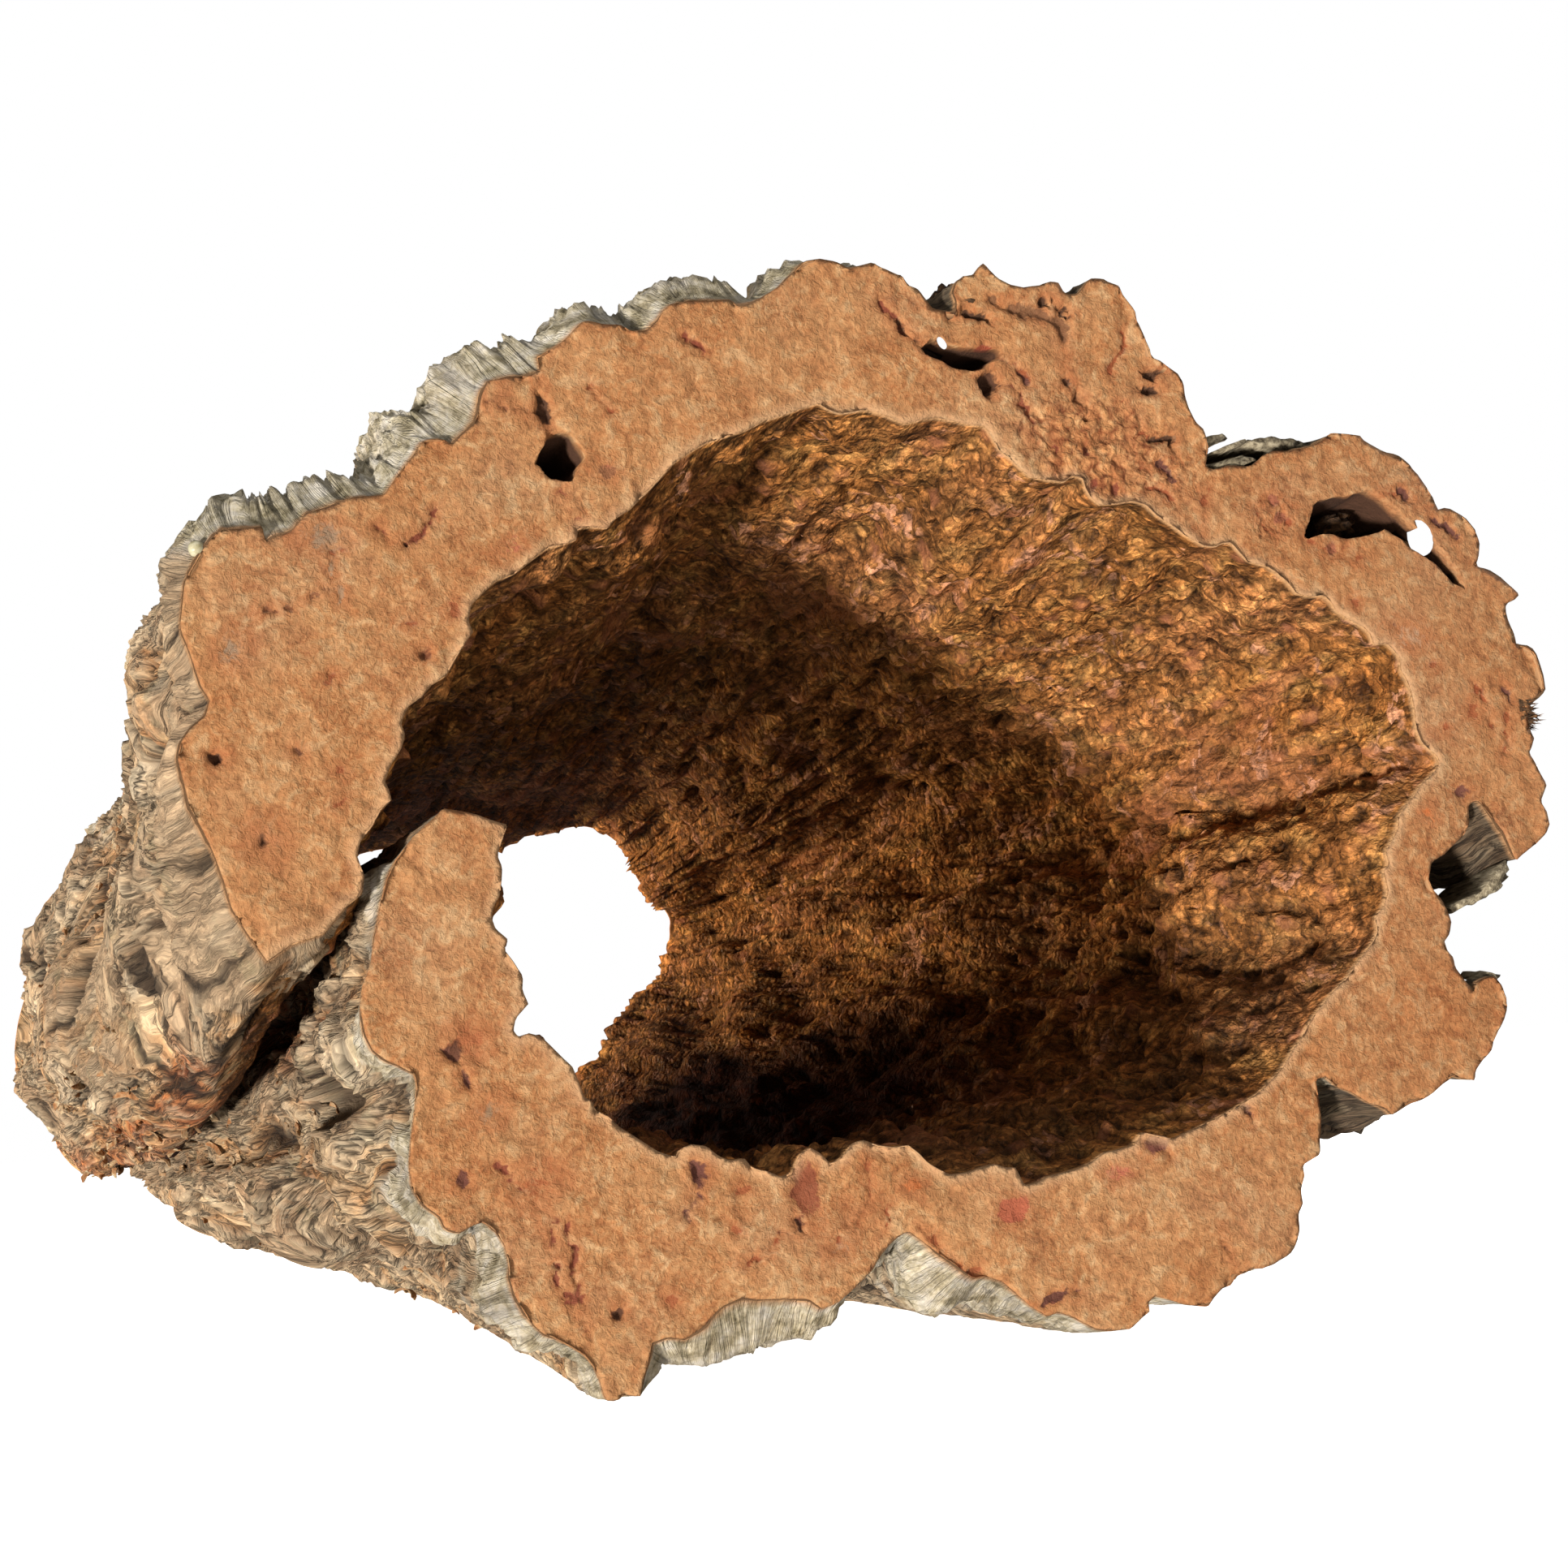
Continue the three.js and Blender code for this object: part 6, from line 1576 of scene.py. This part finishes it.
# %% One curled chip
def chip_body():
    """A closed curled chip, about one metre long, that the nodes scale down to millimetres."""
    rows, columns = 6, 3
    along = np.linspace(-0.5, 0.5, rows)
    width = 0.11 * np.array([0.35, 0.8, 1.0, 0.7, 0.8, 0.2])
    side = np.linspace(-1, 1, columns)
    x = width[:, None] * side[None, :] + 0.08 * np.sin(5 * along)[:, None]
    y = along[:, None] + 0.06 * np.array([0.5, -0.3, 0.4])[None, :]
    z = 0.45 * along[:, None] ** 2 + 0.8 * x**2
    top = np.stack([x, y + 0 * x, z + 0.015], axis=-1)
    low = top - (0, 0, 0.035)
    count = rows * columns
    border = [*range(columns), *range(2 * columns - 1, count, columns)]
    border += [*range(count - 2, count - columns - 1, -1), *range(count - 2 * columns, 0, -columns)]
    faces = grid_faces(rows, columns).tolist() + grid_faces(rows, columns, count)[:, ::-1].tolist()
    faces += [[b, a, a + count, b + count] for a, b in zip(border, border[1:] + border[:1])]
    points = np.concatenate([top.reshape(-1, 3), low.reshape(-1, 3)])
    return make_mesh("chip", points, faces, bark, smooth=False)

# %% The tree that repeats the chip
CHIPS_INPUTS = {
    "Crust": "Geometry", "Chip": "Object", "Chips per square metre": "Float", "Shortest": "Float",
    "Longest": "Float", "Tilt": "Float", "Seed": "Int", "Finish": "Material",
}


def loose_chips_tree():
    """The node tree that scatters a chip over a crust, and its inputs by name."""
    tree = bpy.data.node_groups.new("loose chips", "GeometryNodeTree")
    sockets = {}
    for name, kind in CHIPS_INPUTS.items():
        sockets[name] = tree.interface.new_socket(name, in_out="INPUT", socket_type="NodeSocket" + kind)
    tree.interface.new_socket("Chips", in_out="OUTPUT", socket_type="NodeSocketGeometry")
    given, result = tree.nodes.new("NodeGroupInput").outputs, tree.nodes.new("NodeGroupOutput").inputs

    def node(kind, links, **settings):
        made = tree.nodes.new(kind)
        for key, value in settings.items():
            setattr(made, key, value)
        join(tree, made.inputs, links)
        return made.outputs

    density, seed = given["Chips per square metre"], given["Seed"]
    spread = node("GeometryNodeDistributePointsOnFaces",
                  {"Mesh": given["Crust"], "Density": density, "Seed": seed})
    facing = node("FunctionNodeAxesToRotation",
                  {"Primary Axis": spread["Normal"], "Secondary Axis": (0, 1, 0)},
                  primary_axis="Z", secondary_axis="Y")
    most = node("ShaderNodeCombineXYZ", {axis: given["Tilt"] for axis in "XYZ"})
    least = node("ShaderNodeVectorMath", {0: most[0], "Scale": -1.0}, operation="SCALE")
    lean = node("FunctionNodeRandomValue", {0: least[0], 1: most[0], "Seed": seed},
                data_type="FLOAT_VECTOR")
    turned = node("FunctionNodeRotateRotation", {"Rotation": facing[0], "Rotate By": lean[0]},
                  rotation_space="LOCAL")
    size = node("FunctionNodeRandomValue", {2: given["Shortest"], 3: given["Longest"], "Seed": seed})
    chip = node("GeometryNodeObjectInfo", {"Object": given["Chip"]})
    placed = node("GeometryNodeInstanceOnPoints", {
        "Points": spread["Points"], "Instance": chip["Geometry"], "Rotation": turned[0], "Scale": size[1],
    })
    real = node("GeometryNodeRealizeInstances", {"Geometry": placed[0]})
    dressed = node("GeometryNodeSetMaterial", {"Geometry": real[0], "Material": given["Finish"]})
    tree.links.new(dressed[0], result[0])
    return tree, sockets

# %% [markdown]
# Chips are old bark of many tones, and their thin edges are paler. The finish reads a slow noise for the
# tone and fine strands for the fibres.

# %% The finish of the chips
loose, tree, shader, place = new_finish("loose bark")
stretched = add(tree, "Mapping", {"Vector": place, "Scale": (1, 0.3, 1)}).outputs[0]
strands = grain(tree, stretched, 1.4, 5.0, 0.65, Distortion=0.6)
colour = ramp(tree, grain(tree, place, 0.35, 5.0, 0.7), [
    (0.3, (96, 68, 46)), (0.42, (166, 112, 70)), (0.54, (190, 156, 116)),
    (0.66, (216, 196, 160)),
])
colour = shade(tree, 0.9, colour, ramp(tree, strands, [(0.34, 0.55), (0.5, 1.0), (0.66, 1.2)]))
join(tree, shader.inputs, {
    "Base Color": colour, "Roughness": 0.92, "Specular IOR Level": 0.15,
    "Normal": bump(tree, strands, 0.3, 0.7),
})
print(loose.name, "has", len(tree.nodes), "nodes")

# %% Scatter the chips
chips_tree, chips_sockets = loose_chips_tree()


def scatter(name, first, last, start, end, density, shortest, longest, tilt, seed):
    """Chips over one part of the crust, as one plain mesh."""
    places, alongs = column_places(first, last, 3.0), np.linspace(start, end, 60)
    base, outward = surface(places, alongs)
    base = base + 0.3 * outward
    l = np.repeat(alongs[:, None], len(places), axis=1)
    points = to_metres(base[..., 0], l, base[..., 1]).reshape(-1, 3)
    made = make_mesh(name, points, grid_faces(len(alongs), len(places)), loose)
    chip = chip_body()
    repeat = made.modifiers.new("chips", "NODES")
    repeat.node_group = chips_tree
    given = {"Chip": chip, "Chips per square metre": density, "Shortest": shortest, "Longest": longest,
             "Tilt": tilt, "Seed": seed, "Finish": loose}
    for key, value in given.items():
        repeat[chips_sockets[key].identifier] = value
    apply_modifiers(made)
    bpy.data.objects.remove(chip)
    mesh = made.data
    corners = np.array([v.co for v in mesh.vertices])
    mesh.vertices.foreach_set("co", np.clip(corners, *np.array(cad_box)).ravel())
    print(name, triangles(made), "triangles")
    return made


chips = [
    scatter("chips_seam", -2, 2.4, 70, 264, 26000, 0.002, 0.006, 0.5, 3),
    scatter("chips_left", 2.4, 14, 60, 264, 3500, 0.002, 0.006, 0.25, 6),
    scatter("chips_foot", 96, 136, 22, 264, 4500, 0.002, 0.006, 0.3, 4),
]

# %% [markdown]
# A few larger things stick out at the edge of the near saw cut: grey plates of dead bark on the right
# shoulder, a dark knob on the crown, a tuft of fibres on the right, and a small pale gall on the left.
# Each plate is a thin closed bar with its own outline, drawn on the saw cut and carried on behind it.

# %% The dead plates' outlines
PLATES = [
    ([(44.5, 114.3), (48.6, 115.3), (49.1, 114.4), (45.8, 113.1)], 2, 17, (2, 2)),
    ([(45.7, 112.4), (51.3, 114.4), (51.9, 114), (48.2, 112.5)], 1.5, 15, (3, 1)),
    ([(52.7, 114.4), (56.4, 115.2), (62.8, 114.2), (61.6, 113.3), (54.3, 113.4)], 2.5, 24, (0, 0.6)),
    ([(44.6, 110.4), (44.3, 109.4), (47.8, 109.4), (52.7, 111.4), (50.7, 112)], 1, 12, (1, 2)),
    ([(78, 39.2), (79.6, 40.6), (81.4, 40), (79.6, 38.7)], 1, 8, (1, 1)),
    ([(83.6, 51.4), (86.4, 54.4), (85, 55.4), (80.8, 51.6), (76, 50), (76.4, 49)], 2, 14, (0, -1)),
]
print(len(PLATES), "dead plates")

# %% Bodies for the plates, the knobs, the tuft and the gall
def bar(outline, start, end, drift, seed):
    """A closed bar with a ragged outline, from one distance to another."""
    ring = ring_of(outline, 0.5)
    centre, turn = ring.mean(axis=0), np.arange(len(ring))
    grids = []
    for share in np.linspace(0, 1, 9):
        size = (1 - 0.5 * share**2) * (1 + 0.16 * noise(turn / 1.7, share * 6 + 0 * turn, seed))
        here = centre + (ring - centre) * size[:, None] + np.array(drift) * share
        along = start + (end - start) * share + 0.7 * noise(turn / 2.2, 3 * share + 0 * turn, seed + 1)
        grids.append(to_metres(here[:, 0], along, here[:, 1]))
    return np.concatenate(grids), tube_faces(9, len(ring))


def ball(middle, radii, rough, seed):
    """A closed lumpy ball with its middle and radii in millimetres along x, the branch and z."""
    rings, sides = 15, 22
    down = np.linspace(0.06, math.pi - 0.06, rings)[:, None]
    turn = (np.arange(sides) * 2 * math.pi / sides)[None, :]
    size = 1 + rough * noise(3 * np.sin(turn) + 4 * down, 3 * np.cos(turn) + 2 * down, seed)
    x = middle[0] + radii[0] * size * np.sin(down) * np.cos(turn)
    along = middle[1] + radii[1] * size * np.sin(down) * np.sin(turn)
    z = middle[2] + radii[2] * size * np.cos(down) + 0 * turn
    return to_metres(x, along, z).reshape(-1, 3), [face[::-1] for face in tube_faces(rings, sides)]


def spike(root, tip, width):
    """A thin closed three-sided fibre."""
    root, tip = np.array(root), np.array(tip)
    corners = [root + width * np.array([math.cos(k * 2.1), 0, math.sin(k * 2.1)]) for k in range(3)]
    points = np.stack([*corners, tip])
    return to_metres(points[:, 0], points[:, 1], points[:, 2]), [[2, 1, 0], [0, 1, 3], [1, 2, 3], [2, 0, 3]]


def joined(name, bodies, finish, smooth=True):
    """Several closed bodies in one mesh."""
    points, faces = [], []
    for own_points, own_faces in bodies:
        first = sum(len(p) for p in points)
        points.append(own_points)
        faces += [[first + k for k in face] for face in own_faces]
    made = make_mesh(name, np.clip(np.concatenate(points), *np.array(cad_box)), faces, finish, smooth)
    print(name, triangles(made), "triangles")
    return made

# %% The finishes of the small things
def fibrous_finish(name, stretch, scale, twist, stops, depth):
    """A finish of dead fibres: one grain gives its colour and its relief."""
    made, tree, shader, place = new_finish(name)
    stretched = add(tree, "Mapping", {"Vector": place, "Scale": (1, stretch, 1)}).outputs[0]
    strands = grain(tree, stretched, scale, 5.0, 0.65, Distortion=twist)
    join(tree, shader.inputs, {
        "Base Color": ramp(tree, strands, stops), "Roughness": 0.92, "Specular IOR Level": 0.15,
        "Normal": bump(tree, strands, depth, 0.9),
    })
    return made


dead = fibrous_finish("dead grey bark", 0.3, 1.2, 0.0, [
    (0.34, (84, 74, 60)), (0.5, (158, 144, 118)), (0.64, (204, 190, 160)),
], 0.4)
dark = fibrous_finish("dark knob", 1.0, 0.8, 0.5, [
    (0.36, (38, 28, 22)), (0.5, (84, 62, 44)), (0.66, (150, 108, 70)),
], 0.5)
pearl, tree, shader, place = new_finish("pale gall")
pearl_tones = [(0.35, (172, 160, 116)), (0.6, (226, 218, 184))]
join(tree, shader.inputs, {
    "Base Color": ramp(tree, grain(tree, place, 0.9, 3.0), pearl_tones), "Roughness": 0.4,
    "Normal": bump(tree, grain(tree, place, 2.0), 0.1, 0.3),
})
print("finishes:", dead.name, dark.name, pearl.name, sep=", ")

# %% Dead plates, knobs, tuft and gall
tuft = []
for k in range(110):
    root = (90.4 + 0.7 * speckle(k, 1, 141), 1.5 + 1.4 * speckle(k, 2, 141), 75.6 + 1.7 * speckle(k, 3, 141))
    reach = (2.2 + 1.0 * speckle(k, 4, 141), 1.6 * speckle(k, 5, 141), 1.7 * speckle(k, 6, 141) - 0.2)
    tuft.append(spike(root, np.array(root) + reach, 0.32 + 0.1 * speckle(k, 7, 141)))
knob_bodies = [
    ball((11.4, 4.5, 132.4), (2.1, 4.2, 2.3), 0.32, 142), ball((12.6, 9, 134.2), (2.4, 5, 2.4), 0.3, 143),
    ball((21.5, 7, 133.6), (4.2, 4.6, 1.6), 0.35, 144), ball((68.5, 9, 103.6), (2.6, 4, 1.8), 0.35, 145),
    ball((90.9, 1.7, 75.7), (1.2, 1.3, 1.6), 0.4, 147), ball((-66.8, 14, 62.4), (2.6, 5, 2.2), 0.2, 148),
]
extras = [
    joined("dead_plates", [bar(*plate, 150 + 3 * k) for k, plate in enumerate(PLATES)], dead),
    joined("dark_knobs", knob_bodies, dark),
    joined("fibre_tuft", tuft, dark, smooth=False),
    joined("pale_gall", [ball((-87.6, 1, 99.2), (0.95, 0.95, 0.95), 0.04, 146)], pearl),
]

# %% [markdown]
# ## The pieces together
# Every piece moves with the one body and stands for the one solid. The imported solid is hidden.

# %% Tie the pieces to the frame and finish
pieces = [core, wall, left, crown, right, foot, *chips, *extras]
for piece in pieces:
    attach(piece, "root")
    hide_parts("cork_branch")
print("all pieces:", sum(triangles(piece) for piece in pieces), "triangles")

corners = np.array([v.co for piece in pieces for v in piece.data.vertices])
